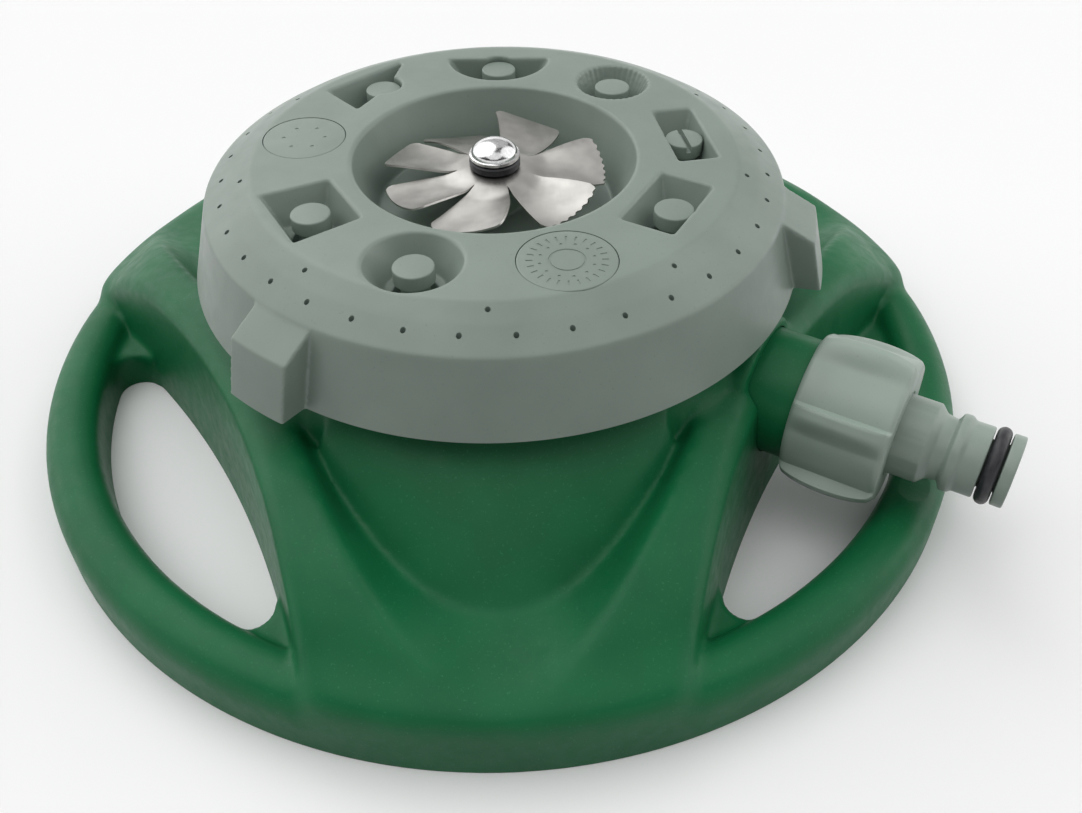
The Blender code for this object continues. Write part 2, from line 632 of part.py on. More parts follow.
def corner_fillet(opening_az, side):
    """Wedge that rounds the corner between a grip's inner face and the side wall."""
    inner_r = RING_R - GRIP_WIDTH
    t = bisect(lambda t: hypot(*fillet_centre(t)) - (inner_r - GRIP_FILLET), 0, inner_r)
    centre = fillet_centre(t)
    to_ring = atan2(centre[1], centre[0])
    to_wall = atan2(2 * RIDGE_CURL * t, -1)
    corner_t = bisect(lambda t: hypot(wall_foot(t), t) - inner_r, 0, inner_r)
    to_corner = atan2(corner_t - centre[1], wall_foot(corner_t) - centre[0])
    reach = hypot(corner_t - centre[1], wall_foot(corner_t) - centre[0]) + 1.2 * WALL
    bite = GRIP_FILLET + 0.6 * WALL
    around_it = [(GRIP_FILLET + GAP / 2, to_ring + (to_wall - to_ring) * k / 5) for k in range(6)]
    around_it += [(bite, to_wall), (reach, to_corner), (bite, to_ring)]
    outline = []
    for r, a in around_it:
        s, side_t = centre[0] + r * cos(a), side * (centre[1] + r * sin(a))
        outline.append((s * cos(opening_az) - side_t * sin(opening_az),
                        s * sin(opening_az) + side_t * cos(opening_az)))
    outline = facing_up(outline)
    return loft([[(x, y, z) for x, y in outline] for z in (-BELOW, GRIP_INNER_H - GAP)])


def inlet_point(station, sideways):
    """Place in plan, so far out along the inlet and so far to its side."""
    return (station * cos(INLET_AZ) - sideways * sin(INLET_AZ),
            station * sin(INLET_AZ) + sideways * cos(INLET_AZ))


def ear_points():
    return [inlet_point(PLUG_PCR, -EAR_OUT), inlet_point(PLUG_PCR, EAR_OUT)]


def base_housing():
    housing = body("base_housing", *base_shell(panel_angles(4, 9), (3, 1, 3), -BELOW), GREEN)
    bore_r = THREAD_R + GAP
    saddle = laid(rod(bore_r + SADDLE_T, SADDLE_START, WAIST + GAP, 32), along_inlet())
    openings = [FIRST_PANEL_AZ + (k + 0.5) * PANEL_STEP for k in range(PANELS)]
    grips = [grip(az) for az in openings]
    fillets = [corner_fillet(az, side) for az in openings for side in (-1, 1)]
    add(housing, body("outside", *merged([*grips, *fillets, saddle])))

    deck_inside = DECK_Z - WALL / 2
    click = polar(DETENT_PCR, DETENT_AZ)
    click_bore = DETENT_R + GAP
    hollow = body("hollow", *base_shell(panel_angles(4, 9), (2, 1, 2), -HOLLOW_BELOW, WALL, SHELL_SINK))
    cut(hollow, body("bosses", *merged([
        saddle,
        rod(BOSS_R, BOSS_Z, deck_inside, 24),
        rod(click_bore + DETENT_BOSS_WALL, DETENT_FLOOR_Z - DETENT_FLOOR_T, deck_inside, 16, click),
        *[rod(EAR_R, EAR_TOP_Z + GAP, deck_inside, 16, ear) for ear in ear_points()]])))
    cut(housing, hollow)

    above = DECK_Z + WALL
    ground = [[(x, y, z) for x, y in facing_up([(-1, -1), (1, -1), (1, 1), (-1, 1)])]
              for z in (-GROUND_CUT, 0)]
    cut(housing, body("bores", *merged([
        loft(ground),
        laid(rod(bore_r, SADDLE_START - WALL, RING_R, 32), along_inlet()),
        rod(STEM_R + GAP, BOSS_Z - WALL, above, 24),
        rod(click_bore, DETENT_FLOOR_Z, above, 16, click),
        rod(TOWER_R + GAP, EAR_TOP_Z + EAR_T, above, 24, polar(PLUG_PCR, PORT_AZ)),
        *[rod(EAR_SCREW_R + GAP, EAR_TOP_Z - EAR_T, EAR_TOP_Z + EAR_SCREW_BITE + 2 * GAP, 12, ear)
          for ear in ear_points()]])))


def water_way():
    """Inlet spigot, its channel and the tower that feeds the port, in one moulding."""
    crests = []
    pitch = (SPIGOT_END - THREAD_START) / THREAD_CRESTS
    for k in range(THREAD_CRESTS):
        at = THREAD_START + pitch * k
        crests += [(SPIGOT_R, at + 0.1 * pitch), (THREAD_R, at + 0.4 * pitch),
                   (THREAD_R, at + 0.6 * pitch), (SPIGOT_R, at + 0.9 * pitch)]
    profile = [(SPIGOT_R, CHANNEL_END), (SPIGOT_R, SADDLE_START), (THREAD_R, SADDLE_START + WALL),
               (THREAD_R, SHANK_END), (SPIGOT_R, SHANK_END + GAP)]
    profile += crests + [(SPIGOT_R, SPIGOT_END)]
    way = body("water_way", *turned(profile, 24), GREEN, along_inlet())
    tower = polar(PLUG_PCR, PORT_AZ)
    add(way, body("tower", *rod(TOWER_R, INLET_Z, DECK_Z, 24, tower)))
    steps = 8
    half_turn = [pi * k / steps for k in range(steps + 1)]
    plan = [inlet_point(PLUG_PCR + side * EAR_R * cos(a), side * (EAR_OUT + EAR_R * sin(a)))
            for side in (1, -1) for a in half_turn]
    ears = loft([[(x, y, z) for x, y in facing_up(plan)] for z in (EAR_TOP_Z - EAR_T, EAR_TOP_Z)])
    add(way, body("ears", *ears))
    cut(way, body("channel_bore", *rod(SPIGOT_BORE_R, CHANNEL_END + WALL, RING_R, 24),
                  place=along_inlet()))
    cut(way, body("tower_bores", *merged([
        turned_at([(TOWER_BORE_R, INLET_Z), (TOWER_BORE_R, SEAL_SEAT_Z),
                   (SEAL_R + GAP, SEAL_SEAT_Z), (SEAL_R + GAP, DECK_Z + WALL)], 24, tower),
        *[rod(EAR_SCREW_R + GAP, EAR_TOP_Z - 2 * EAR_T, EAR_TOP_Z + EAR_T, 12, ear)
          for ear in ear_points()]])))


def screw(radius, head_r, head_h, low, high, middle=(0, 0), steps=12):
    """Screw put in from below, its head under the level low."""
    return turned_at([(0.8 * head_r, low - head_h), (head_r, low - 0.6 * head_h), (head_r, low),
                      (radius, low), (radius, high - radius), (0.5 * radius, high)], steps, middle)


def water_way_screws():
    low = EAR_TOP_Z - EAR_T - GAP
    for k, ear in enumerate(ear_points(), 1):
        shape = screw(EAR_SCREW_R, EAR_HEAD_R, EAR_HEAD_H, low, EAR_TOP_Z + EAR_SCREW_BITE, ear)
        body(f"water_way_screw_{k}", *shape, STEEL)


def spring(name, radius, wire, low, high, curls, middle):
    """Helix between two heights, wire included."""
    points = CURL_STEPS * curls
    curve = bpy.data.curves.new(name, "CURVE")
    curve.dimensions = "3D"
    curve.bevel_depth = wire
    curve.bevel_resolution = 1
    curve.use_fill_caps = True
    line = curve.splines.new("POLY")
    line.points.add(points)
    for k in range(points + 1):
        x, y = polar(radius, 2 * pi * curls * k / points)
        z = low + wire + (high - low - 2 * wire) * k / points
        line.points[k].co = (middle[0] + x, middle[1] + y, z, 1)
    obj = bpy.data.objects.new(name, curve)
    bpy.context.collection.objects.link(obj)
    curve.materials.append(material(name, STEEL))


def port_seal():
    tower = polar(PLUG_PCR, PORT_AZ)
    top = PLATE_Z - GAP
    low = top - SEAL_H
    lip = 0.8 * MM
    profile = [(SEAL_R, low), (SEAL_R, top - lip), (SEAL_R - lip, top), (SEAL_BORE_R, top),
               (SEAL_BORE_R, low)]
    body("port_seal", *turned_at(profile, 24, tower, loop=True), BLACK)
    radius = (SEAL_R + TOWER_BORE_R) / 2 + SEAL_WIRE_R
    spring("seal_spring", radius, SEAL_WIRE_R, SEAL_SEAT_Z + GAP, low - GAP, 3, tower)


def detent():
    place = polar(DETENT_PCR, DETENT_AZ)
    tip = PLATE_Z + DETENT_GROOVE - GAP
    low = tip - DETENT_HEAD_H - DETENT_NOSE
    profile = [(0.5 * DETENT_R, low - DETENT_NOSE), (0.5 * DETENT_R, low), (DETENT_R, low),
               (DETENT_R, tip - DETENT_NOSE), (0.85 * DETENT_R, tip - 0.4 * DETENT_NOSE),
               (0.4 * DETENT_R, tip)]
    body("detent_plunger", *turned_at(profile, 16, place), WHITE_PLASTIC)
    spring("detent_spring", 0.75 * DETENT_R, DETENT_WIRE_R, DETENT_FLOOR_Z + GAP, low - GAP, 4, place)


def nut_ring(station, share):
    """Outline of the nut's outside at one station: body and wings."""
    arch = sqrt(max(1 - (2 * share - 1) ** 2, 0))
    inside = NUT_BODY_R - NUT_END_ROUND * (1 - arch)
    ring = []
    for fin in range(NUT_FINS):
        for turn, rise in NUT_FIN_SHAPE:
            a = NUT_FIN_AT + 2 * pi * (fin + turn) / NUT_FINS
            r = inside + NUT_FIN_H * rise * arch
            ring.append((r * cos(a), r * sin(a), station))
    return ring


def tap_nut():
    steps = len(NUT_FIN_SHAPE) * NUT_FINS
    shares = [0, 0.07, 0.25, 0.5, 0.75, 0.93, 1]
    rings = [nut_ring(NUT_START + share * NUT_LENGTH, share) for share in shares]
    hole, bore = TAIL_COLLAR_R + GAP, THREAD_R + GAP
    wall = NUT_END - NUT_END_WALL
    rings += [circle(hole, NUT_END, steps, start=NUT_FIN_AT), circle(hole, wall, steps, start=NUT_FIN_AT),
              circle(bore, wall, steps, start=NUT_FIN_AT),
              circle(bore, NUT_START, steps, start=NUT_FIN_AT)]
    body("tap_nut", *loft(rings, loop=True), GREY, along_inlet())


def hose_tail():
    """Flange inside the nut, fluted collar, neck, ridge, barrel with its seal groove."""
    steps = 3 * TAIL_FLUTES
    groove_r = O_RING_OUT_R - 2 * O_RING_WIRE_R - GAP
    groove = O_RING_WIRE_R + GAP
    step = 0.8 * MM
    fluted = [(TAIL_COLLAR_R, NUT_END + step), (TAIL_COLLAR_R, TAIL_COLLAR_END)]
    ridge_low, ridge_high = TAIL_RIDGE
    profile = [(TAIL_FLANGE_R, TAIL_START), (TAIL_FLANGE_R, TAIL_FLANGE_END),
               (TAIL_COLLAR_R, TAIL_FLANGE_END),
               *fluted, (TAIL_NECK_R, TAIL_COLLAR_END + 2 * step), (TAIL_NECK_R, ridge_low - step),
               (TAIL_RIDGE_R, ridge_low), (TAIL_RIDGE_R, ridge_high), (TAIL_BARREL_R, ridge_high + step),
               (TAIL_BARREL_R, O_RING_AT - groove), (groove_r, O_RING_AT - groove),
               (groove_r, O_RING_AT + groove), (TAIL_BARREL_R, O_RING_AT + groove),
               (TAIL_BARREL_R, TAIL_TIP - step), (TAIL_BARREL_R - step, TAIL_TIP),
               (TAIL_BORE_R, TAIL_TIP), (TAIL_BORE_R, TAIL_START)]
    rings = []
    for r, station in profile:
        ring = circle(r, station, steps)
        if (r, station) in fluted:
            ring = [(x * fluted_share(k), y * fluted_share(k), z) for k, (x, y, z) in enumerate(ring)]
        rings.append(ring)
    body("hose_tail", *loft(rings, loop=True), GREY, along_inlet())
    wire = [(O_RING_OUT_R - O_RING_WIRE_R * (1 - cos(a)), O_RING_AT + O_RING_WIRE_R * sin(a))
            for a in [2 * pi * k / 6 for k in range(6)]]
    body("tail_o_ring", *turned(wire, 24, loop=True), BLACK, along_inlet())
    low, high = SPIGOT_END + GAP, TAIL_START - GAP
    washer = [(TAIL_FLANGE_R, low), (TAIL_FLANGE_R, high), (SPIGOT_BORE_R, high), (SPIGOT_BORE_R, low)]
    body("nut_washer", *turned(washer, 24, loop=True), BLACK, along_inlet())


def fluted_share(k):
    return 1 - TAIL_FLUTE_DEPTH / TAIL_COLLAR_R if k % 3 == 0 else 1.0


def turned_at(profile, steps, middle, loop=False):
    return loft([circle(r, z, steps, middle) for r, z in profile], loop)


def dial_blank():
    """The dial turned from the pivot side, round the skirt and over the top to the post."""
    hole_r = ROTOR_SCREW_R + GAP
    profile = [(PLATE_R + GAP, PLATE_TOP_Z + GAP), (SKIRT[0] - SKIRT_T, SKIRT[1]), SKIRT, BEVEL,
               SHOULDER, (DIAL_FLAT_R, DIAL_TOP_Z), (BOWL_RIM_R, DIAL_TOP_Z),
               (BOWL_FLOOR_R, BOWL_FLOOR_Z), (POST_R, BOWL_FLOOR_Z), (POST_R, POST_TOP_Z),
               (hole_r, POST_TOP_Z), (hole_r, POST_TOP_Z - ROTOR_SCREW_DEPTH - GAP)]
    return turned(profile, DIAL_STEPS)


def chambers():
    """One chamber for each pattern, between the plate and the dial's top."""
    low = PLATE_TOP_Z - WALL
    slope = BEVEL_DROP / BEVEL_STEP
    roof = DIAL_TOP_Z - SHELL_T
    outer_roof = BEVEL[1] + slope * (BEVEL[0] - CHAMBER_OUT_R) - 1.2 * SHELL_T
    section = [(CHAMBER_OUT_R, low), (CHAMBER_OUT_R, outer_roof),
               (SHOULDER[0] - 0.3 * SHELL_T, SHOULDER[1] - SHELL_T), (DIAL_FLAT_R, roof),
               (CHAMBER_IN_R, roof), (CHAMBER_IN_R, low)]
    half = PATTERN_STEP / 2 - CHAMBER_RIB / (2 * CHAMBER_IN_R)
    shapes = []
    for k in range(PATTERNS):
        az = PORT_AZ + k * PATTERN_STEP
        shapes.append(swept(section, az - half, az + half, 4))
    return merged(shapes)


def lobes():
    """Finger lobes with parallel ends, which carry the bevel on outwards."""
    top_r = LOBE_R - LOBE_FLARE
    top_z = BEVEL[1] - BEVEL_DROP / BEVEL_STEP * (top_r - BEVEL[0])
    inside = SKIRT_T / 2
    section = [(SKIRT[0] - inside, SKIRT[1]), (LOBE_R, SKIRT[1]), (top_r, top_z),
               (BEVEL[0] - GAP, BEVEL[1] - GAP / 2), (BEVEL[0] - inside, BEVEL[1] - SKIRT_T)]
    steps = 4
    shapes = []
    for az in (LOBES_AZ - LOBE_SPREAD, LOBES_AZ + LOBE_SPREAD, LOBES_AZ + pi):
        rings = []
        for k in range(steps + 1):
            sideways = LOBE_WIDTH * (k / steps - 0.5)
            rings.append([(*polar(r, az + asin(sideways / r)), z) for r, z in section])
        shapes.append(loft(list(reversed(rings))))
    return shapes


def rounded_pocket(radius):
    return [(x, y) for x, y, z in circle(radius, 0, 16)]


def half_moon(straight, radius, middle, steps=8):
    """The part of a circle that lies inside a straight edge across the radius."""
    edge = acos((straight - middle) / radius)
    turns = [edge + 2 * (pi - edge) * k / steps for k in range(steps + 1)]
    return [(middle + radius * cos(a), radius * sin(a)) for a in turns]


def pattern_outlines():
    """Pocket outline of each pattern that has a plug, from the plug's middle."""
    return {
        "fan": FAN_POCKET,
        "cone": rounded_pocket(CONE_POCKET_R),
        "corner": CORNER_POCKET,
        "slot": SLOT_POCKET,
        "flute": rounded_pocket(FLUTE_POCKET_R),
        "half": half_moon(HALF_POCKET_EDGE, HALF_POCKET_R, HALF_POCKET_MIDDLE),
        "wedge": WEDGE_POCKET,
    }


def pattern_azimuth(name):
    return PORT_AZ + PATTERN_ORDER.index(name) * PATTERN_STEP


def placed(points, azimuth, z):
    """(radial, sideways) points from a plug's middle, on the dial at its azimuth."""
    return [((PLUG_PCR + x) * cos(azimuth) - y * sin(azimuth),
             (PLUG_PCR + x) * sin(azimuth) + y * cos(azimuth), z) for x, y in points]


def shrunk(outline, share, grow=0.0):
    """The outline drawn towards the plug by a share, then grown by a width."""
    points = []
    for x, y in outline:
        size = share + grow / hypot(x, y)
        points.append((x * size, y * size))
    return points


def pockets(grow, floor_z, top_z):
    """Sloping pockets of the plug patterns, or with a growth the cups round them."""
    shapes = []
    for name, outline in pattern_outlines().items():
        outline = facing_up(outline)
        azimuth = pattern_azimuth(name)
        rings = [placed(shrunk(outline, POCKET_TAPER, grow), azimuth, floor_z),
                 placed(shrunk(outline, 1, grow), azimuth, top_z)]
        shapes.append(loft(rings))
    return shapes


def at_plugs(radius, low, high, steps):
    return [rod(radius, low, high, steps, polar(PLUG_PCR, pattern_azimuth(name)))
            for name in pattern_outlines()]


def dial_shell():
    shell = body("dial_shell", *dial_blank(), GREY)
    cut(shell, body("chambers", *chambers()))
    cup_low, cup_top = POCKET_FLOOR_Z - CUP_T, DIAL_TOP_Z - SHELL_T / 2
    plug_cups = at_plugs(PLUG_R + GAP + CUP_T, cup_low + GAP, cup_top - GAP, 16)
    add(shell, body("cups", *merged(lobes() + pockets(CUP_T, cup_low, cup_top) + plug_cups)))
    over = DIAL_TOP_Z + SHELL_T
    wells = at_plugs(PLUG_R + GAP, POCKET_FLOOR_Z + GAP / 2, over, 16)
    cut(shell, body("pockets", *merged(pockets(0, POCKET_FLOOR_Z, DIAL_TOP_Z + GAP) + wells)))
    drills = at_plugs(PLUG_PIN_R + GAP, cup_low - WALL, POCKET_FLOOR_Z + WALL, 8)
    drills += [rod(JET_R, BEVEL[1] - SHELL_T, over, 6, place)
               for place in around(OUTER_JETS, OUTER_JET_PCR, OUTER_JET_AZ)]
    drills += [rod(JET_R, BEVEL[1] - SHELL_T, over, 6, place)
               for place in around(INNER_JETS, INNER_JET_PCR, INNER_JET_AZ)]
    drills += [rod(FLOOR_JET_R, BOWL_FLOOR_Z - 0.6 * BOWL_FLOOR_T, BOWL_FLOOR_Z + WALL, 8, place)
               for place in around(FLOOR_JETS, FLOOR_JET_PCR, 0)]
    drills += [rod(PLATE_SCREW_R + GAP, PLATE_Z, PLATE_Z + PLATE_SCREW_L + WALL, 8, place)
               for place in plate_screw_places()]
    seat_z = DIAL_TOP_Z - INSERT_T - GAP
    for name, radius in (("shower", SHOWER_R), ("mist", MIST_R)):
        place = polar(INSERT_PCR, pattern_azimuth(name))
        drills.append(turned_at([(radius - INSERT_LEDGE, seat_z - SHELL_T),
                                 (radius - INSERT_LEDGE, seat_z), (radius + GAP, seat_z),
                                 (radius + GAP, over)], 24, place))
    cut(shell, body("drills", *merged(drills)))


def plate_screw_places():
    return around(PLATE_SCREWS, PLATE_SCREW_PCR, PLATE_SCREW_AZ)


def plugs():
    for name in pattern_outlines():
        low = POCKET_FLOOR_Z + GAP
        profile = [(PLUG_PIN_R, low - PLUG_PIN_DROP), (PLUG_PIN_R, low), (PLUG_R, low),
                   (PLUG_R, PLUG_TOP_Z)]
        shape = turned_at(profile, 16, polar(PLUG_PCR, pattern_azimuth(name)))
        body("plug_" + name, *shape, GREY)


def inserts():
    low = DIAL_TOP_Z - INSERT_T
    shower = ("shower", SHOWER_R, zip(SHOWER_COUNTS, SHOWER_PCRS))
    mist = ("mist", MIST_R, zip(MIST_COUNTS, MIST_PCRS))
    for name, radius, rows in (shower, mist):
        middle = polar(INSERT_PCR, pattern_azimuth(name))
        disc = body(name + "_insert", *rod(radius, low, DIAL_TOP_Z, 32, middle), GREY)
        holes = []
        for count, pcr in rows:
            for x, y in around(count, pcr, 0):
                holes.append(rod(JET_R, low - WALL, DIAL_TOP_Z + WALL, 6, (middle[0] + x, middle[1] + y)))
        cut(disc, body(name + "_holes", *merged(holes)))


def chamber_plate():
    """Plate under the chambers, with its ports, click dips and the stem it turns on."""
    groove = DETENT_R + 2 * GAP
    roof = PLATE_Z + DETENT_GROOVE
    stem_end = BOSS_Z - STEM_STANDOUT
    profile = [(STEM_HOLE_R, stem_end + STEM_HOLE_H), (STEM_HOLE_R, stem_end), (STEM_R, stem_end),
               (STEM_R, PLATE_Z), (DETENT_PCR - groove, PLATE_Z), (DETENT_PCR - groove, roof),
               (DETENT_PCR + groove, roof), (DETENT_PCR + groove, PLATE_Z), (PLATE_R, PLATE_Z),
               (PLATE_R, PLATE_TOP_Z)]
    plate = body("chamber_plate", *turned(profile, 36), GREY)
    drills = [rod(PORT_R, PLATE_Z - WALL, PLATE_TOP_Z + WALL, 8, place)
              for place in around(PATTERNS, PLUG_PCR, PORT_AZ)]
    drills += [rod(DETENT_DIP_R, PLATE_Z - WALL, roof + DETENT_DIP, 8, place)
               for place in around(PATTERNS, DETENT_PCR, DETENT_AZ)]
    drills += [turned_at([(PLATE_HEAD_R + GAP, PLATE_Z - WALL),
                          (PLATE_HEAD_R + GAP, PLATE_Z + PLATE_HEAD_H + GAP),
                          (PLATE_SCREW_R + GAP, PLATE_Z + PLATE_HEAD_H + GAP),
                          (PLATE_SCREW_R + GAP, PLATE_TOP_Z + WALL)], 12, place)
               for place in plate_screw_places()]
    cut(plate, body("plate_drills", *merged(drills)))


def plate_screws():
    low = PLATE_Z + PLATE_HEAD_H
    for k, place in enumerate(plate_screw_places(), 1):
        shape = screw(PLATE_SCREW_R, PLATE_HEAD_R, PLATE_HEAD_H, low, PLATE_Z + PLATE_SCREW_L, place)
        body(f"plate_screw_{k}", *shape, STEEL)


def pivot():
    stem_end = BOSS_Z - STEM_STANDOUT
    high = stem_end - GAP
    low = high - PIVOT_WASHER_T
    washer = [(PIVOT_WASHER_R, low), (PIVOT_WASHER_R, high), (STEM_HOLE_R, high), (STEM_HOLE_R, low)]
    body("pivot_washer", *turned(washer, 24, loop=True), STEEL)
    shape = screw(STEM_HOLE_R - GAP, PIVOT_HEAD_R, PIVOT_HEAD_H, low - GAP,
                  stem_end + STEM_HOLE_H - STEM_R / 2)
    body("pivot_screw", *shape, STEEL)
    low, high = DECK_Z + GAP, PLATE_Z - GAP
    ring = [(SLIP_RING_OUT_R, low), (SLIP_RING_OUT_R, high), (SLIP_RING_IN_R, high), (SLIP_RING_IN_R, low)]
    body("slip_ring", *turned(ring, 36, loop=True), WHITE_PLASTIC)


def rotor_sheet():
    """The spinner as one thin sheet: a hub ring and its pitched blades."""
    hole = BUSH_R + GAP
    across, out = 4, 3
    verts, faces = [], []
    steps = BLADES * across
    for r in (hole, ROTOR_HUB_R):
        verts += [(*polar(r, BLADE_AZ + 2 * pi * (k - across / 2) / steps), ROTOR_Z)
                  for k in range(steps)]
    faces += rings_to_faces(2, steps)
    for blade in range(BLADES):
        middle = BLADE_AZ + 2 * pi * blade / BLADES
        row = [steps + (blade * across + k) % steps for k in range(across + 1)]
        for level in range(1, out + 1):
            share = level / out
            r = ROTOR_HUB_R + (ROTOR_R - ROTOR_HUB_R) * share
            half = pi / BLADES * (1 - BLADE_SLOT * share)
            new_row = []
            for k in range(across + 1):
                place = 2 * k / across - 1
                twist = share * (2 - share)
                z = ROTOR_Z + BLADE_PITCH * place * half * r * twist
                new_row.append(len(verts))
                verts.append((*polar(r, middle + place * half), z))
            faces += [(row[k], new_row[k], new_row[k + 1], row[k + 1]) for k in range(across)]
            row = new_row
    return verts, faces


def rotor():
    verts, faces = rotor_sheet()
    faces = [tuple(reversed(face)) if k < BLADES * 4 else face for k, face in enumerate(faces)]
    sheet = body("rotor", verts, faces, ALUMINIUM)
    thick = sheet.modifiers.new("thickness", "SOLIDIFY")
    thick.thickness = ROTOR_T
    thick.offset = 0
    thick.use_even_offset = True


def rotor_fittings():
    hole = ROTOR_SCREW_R + GAP
    low = POST_TOP_Z + GAP
    high = ROTOR_WASHER_Z - GAP
    flange = low + BUSH_FLANGE_T
    bush = [(BUSH_FLANGE_R, low), (BUSH_FLANGE_R, flange), (BUSH_R, flange), (BUSH_R, high),
            (hole, high), (hole, low)]
    body("rotor_bush", *turned(bush, 24, loop=True), BRASS)
    top = ROTOR_WASHER_Z + ROTOR_WASHER_T
    washer = [(ROTOR_WASHER_R, ROTOR_WASHER_Z), (ROTOR_WASHER_R, top), (hole, top),
              (hole, ROTOR_WASHER_Z)]
    body("rotor_washer", *turned(washer, 24, loop=True), BLACK)
    head = top + GAP
    profile = [(ROTOR_SCREW_R, POST_TOP_Z - ROTOR_SCREW_DEPTH), (ROTOR_SCREW_R, head),
               (ROTOR_HEAD_R, head)]
    profile += [(ROTOR_HEAD_R * cos(a), head + 0.25 * ROTOR_HEAD_H + 0.75 * ROTOR_HEAD_H * sin(a))
                for a in [pi / 2 * k / 5 for k in range(5)]]
    body("rotor_screw", *turned(profile, 24), STEEL)


def main():
    clear_scene()
    base_housing()
    water_way()
    water_way_screws()
    port_seal()
    detent()
    tap_nut()
    hose_tail()
    dial_shell()
    plugs()
    inserts()
    chamber_plate()
    plate_screws()
    pivot()
    rotor()
    rotor_fittings()


main()
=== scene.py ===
"""Looks of a lawn sprinkler with a nine-position dial, in metres, +Z up.

The origin is on the dial's axis at ground level, the first panel of the base faces -Y,
and the inlet leaves between it and the next panel anticlockwise.
"""
import json
from math import acos, asin, atan2, cos, degrees, hypot, pi, radians, sin, sqrt

import bpy
import numpy as np
from mathutils import Matrix, Vector

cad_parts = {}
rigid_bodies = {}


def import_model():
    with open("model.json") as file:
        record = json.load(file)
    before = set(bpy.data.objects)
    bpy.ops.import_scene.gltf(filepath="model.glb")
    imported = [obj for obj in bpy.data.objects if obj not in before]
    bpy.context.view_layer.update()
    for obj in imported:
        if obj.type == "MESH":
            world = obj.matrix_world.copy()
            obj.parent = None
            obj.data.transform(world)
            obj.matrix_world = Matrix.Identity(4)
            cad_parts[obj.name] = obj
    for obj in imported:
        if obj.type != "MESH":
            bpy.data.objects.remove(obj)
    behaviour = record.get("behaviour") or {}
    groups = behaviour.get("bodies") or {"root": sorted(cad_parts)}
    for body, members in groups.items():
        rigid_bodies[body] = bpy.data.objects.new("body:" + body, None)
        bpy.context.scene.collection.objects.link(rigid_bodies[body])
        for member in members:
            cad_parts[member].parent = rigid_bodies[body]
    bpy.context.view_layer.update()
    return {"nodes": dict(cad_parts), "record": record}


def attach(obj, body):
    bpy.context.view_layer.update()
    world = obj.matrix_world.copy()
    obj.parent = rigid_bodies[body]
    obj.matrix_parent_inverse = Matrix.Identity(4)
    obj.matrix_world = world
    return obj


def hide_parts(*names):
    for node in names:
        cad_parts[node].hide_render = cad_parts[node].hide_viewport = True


MM = 0.001
GAP = 0.3 * MM

# Base: ring, grips and openings
RING_R = 108.6 * MM
GRIP_WIDTH = 12.0 * MM
GRIP_SIDE_H = 7.5 * MM
GRIP_TOP_H = 13.8 * MM
GRIP_INNER_H = 9.2 * MM
GRIP_CREST_SHARE = 0.52
GRIP_FILLET = 5.0 * MM
GRIP_ROOT = radians(1.6)
GRIP_STEPS = 80
BELOW = 2.0 * MM
PANELS = 3
PANEL_STEP = 2 * pi / PANELS
FIRST_PANEL_AZ = radians(-90)
OPENINGS_AZ = [FIRST_PANEL_AZ + (k + 0.5) * PANEL_STEP for k in range(PANELS)]
WALL = 2.5 * MM
SHELL_SINK = 2.9 * MM
WAIST = 69.2 * MM
RIDGE_CURL = 2.28
WALL_LEAN = 0.0926
RIDGE_STRIP = 3.0 * MM
RIDGE_DROP = 1.7 * MM
CROWN = [(57.5 * MM, 35.6 * MM), (69.0 * MM, 33.3 * MM), (80.5 * MM, 30.8 * MM),
         (88.0 * MM, 27.9 * MM), (95.0 * MM, 23.5 * MM), (102.0 * MM, 18.3 * MM),
         (RING_R, 14.8 * MM)]
VEE_OUT_TIP = 105.1 * MM
VEE_OUT_CURL = 33.9
VEE_IN_TIP = 86.8 * MM
VEE_IN_CURL = 23.9
VEE_IN_H = 18.4 * MM
VEE_IN_RISE = 8.7
TONGUE_RISE = 2.4 * MM
TONGUE_BULGE = 1.0 * MM
TONGUE_HALF = radians(44.8)
DECK_Z = 46.0 * MM
NECK_R = 59.8 * MM
NECK_STEPS = [(0.6 * MM, 4.0 * MM), (2.2 * MM, 7.5 * MM)]
NECK_FOOT_R = NECK_R + 4.6 * MM
FINE_VOXEL = 0.7 * MM
BASE_VOXEL = FINE_VOXEL

# Grid of the base's skin and of its hollow: angles on ring and ridge, rows down a panel
SKIN_ANGLES, SKIN_ROWS = (44, 64), (18, 9, 14)
HOLLOW_ANGLES, HOLLOW_ROWS = (16, 28), (8, 3, 6)
BASE_KEPT = 0.55

# Posts and holes of the base
BOSS_R = 10.5 * MM
BOSS_FOOT_Z = 30.0 * MM
STEM_BORE_R = 7.3 * MM
STEM_BORE_Z = 20.0 * MM

# Softening of the base: rounds at the fine voxel, and where they work
EDGE_ROUNDS = 6
ROOT_ROUNDS = 24
CREASE_ROUNDS = 30
RIM_ROUNDS = 60
CORNER_REACH = 9.0 * MM
CREASES = [(VEE_OUT_TIP, VEE_OUT_CURL, 0.6), (VEE_IN_TIP, VEE_IN_CURL, 0.06)]
CREASE_REACH = 2.6 * MM
CREASE_FOOT_Z = 12 * MM
RIM_Z = 14 * MM
RIM_REACH = 6 * MM
RIM_REACH_IN = 8 * MM
FADE = 2 * MM

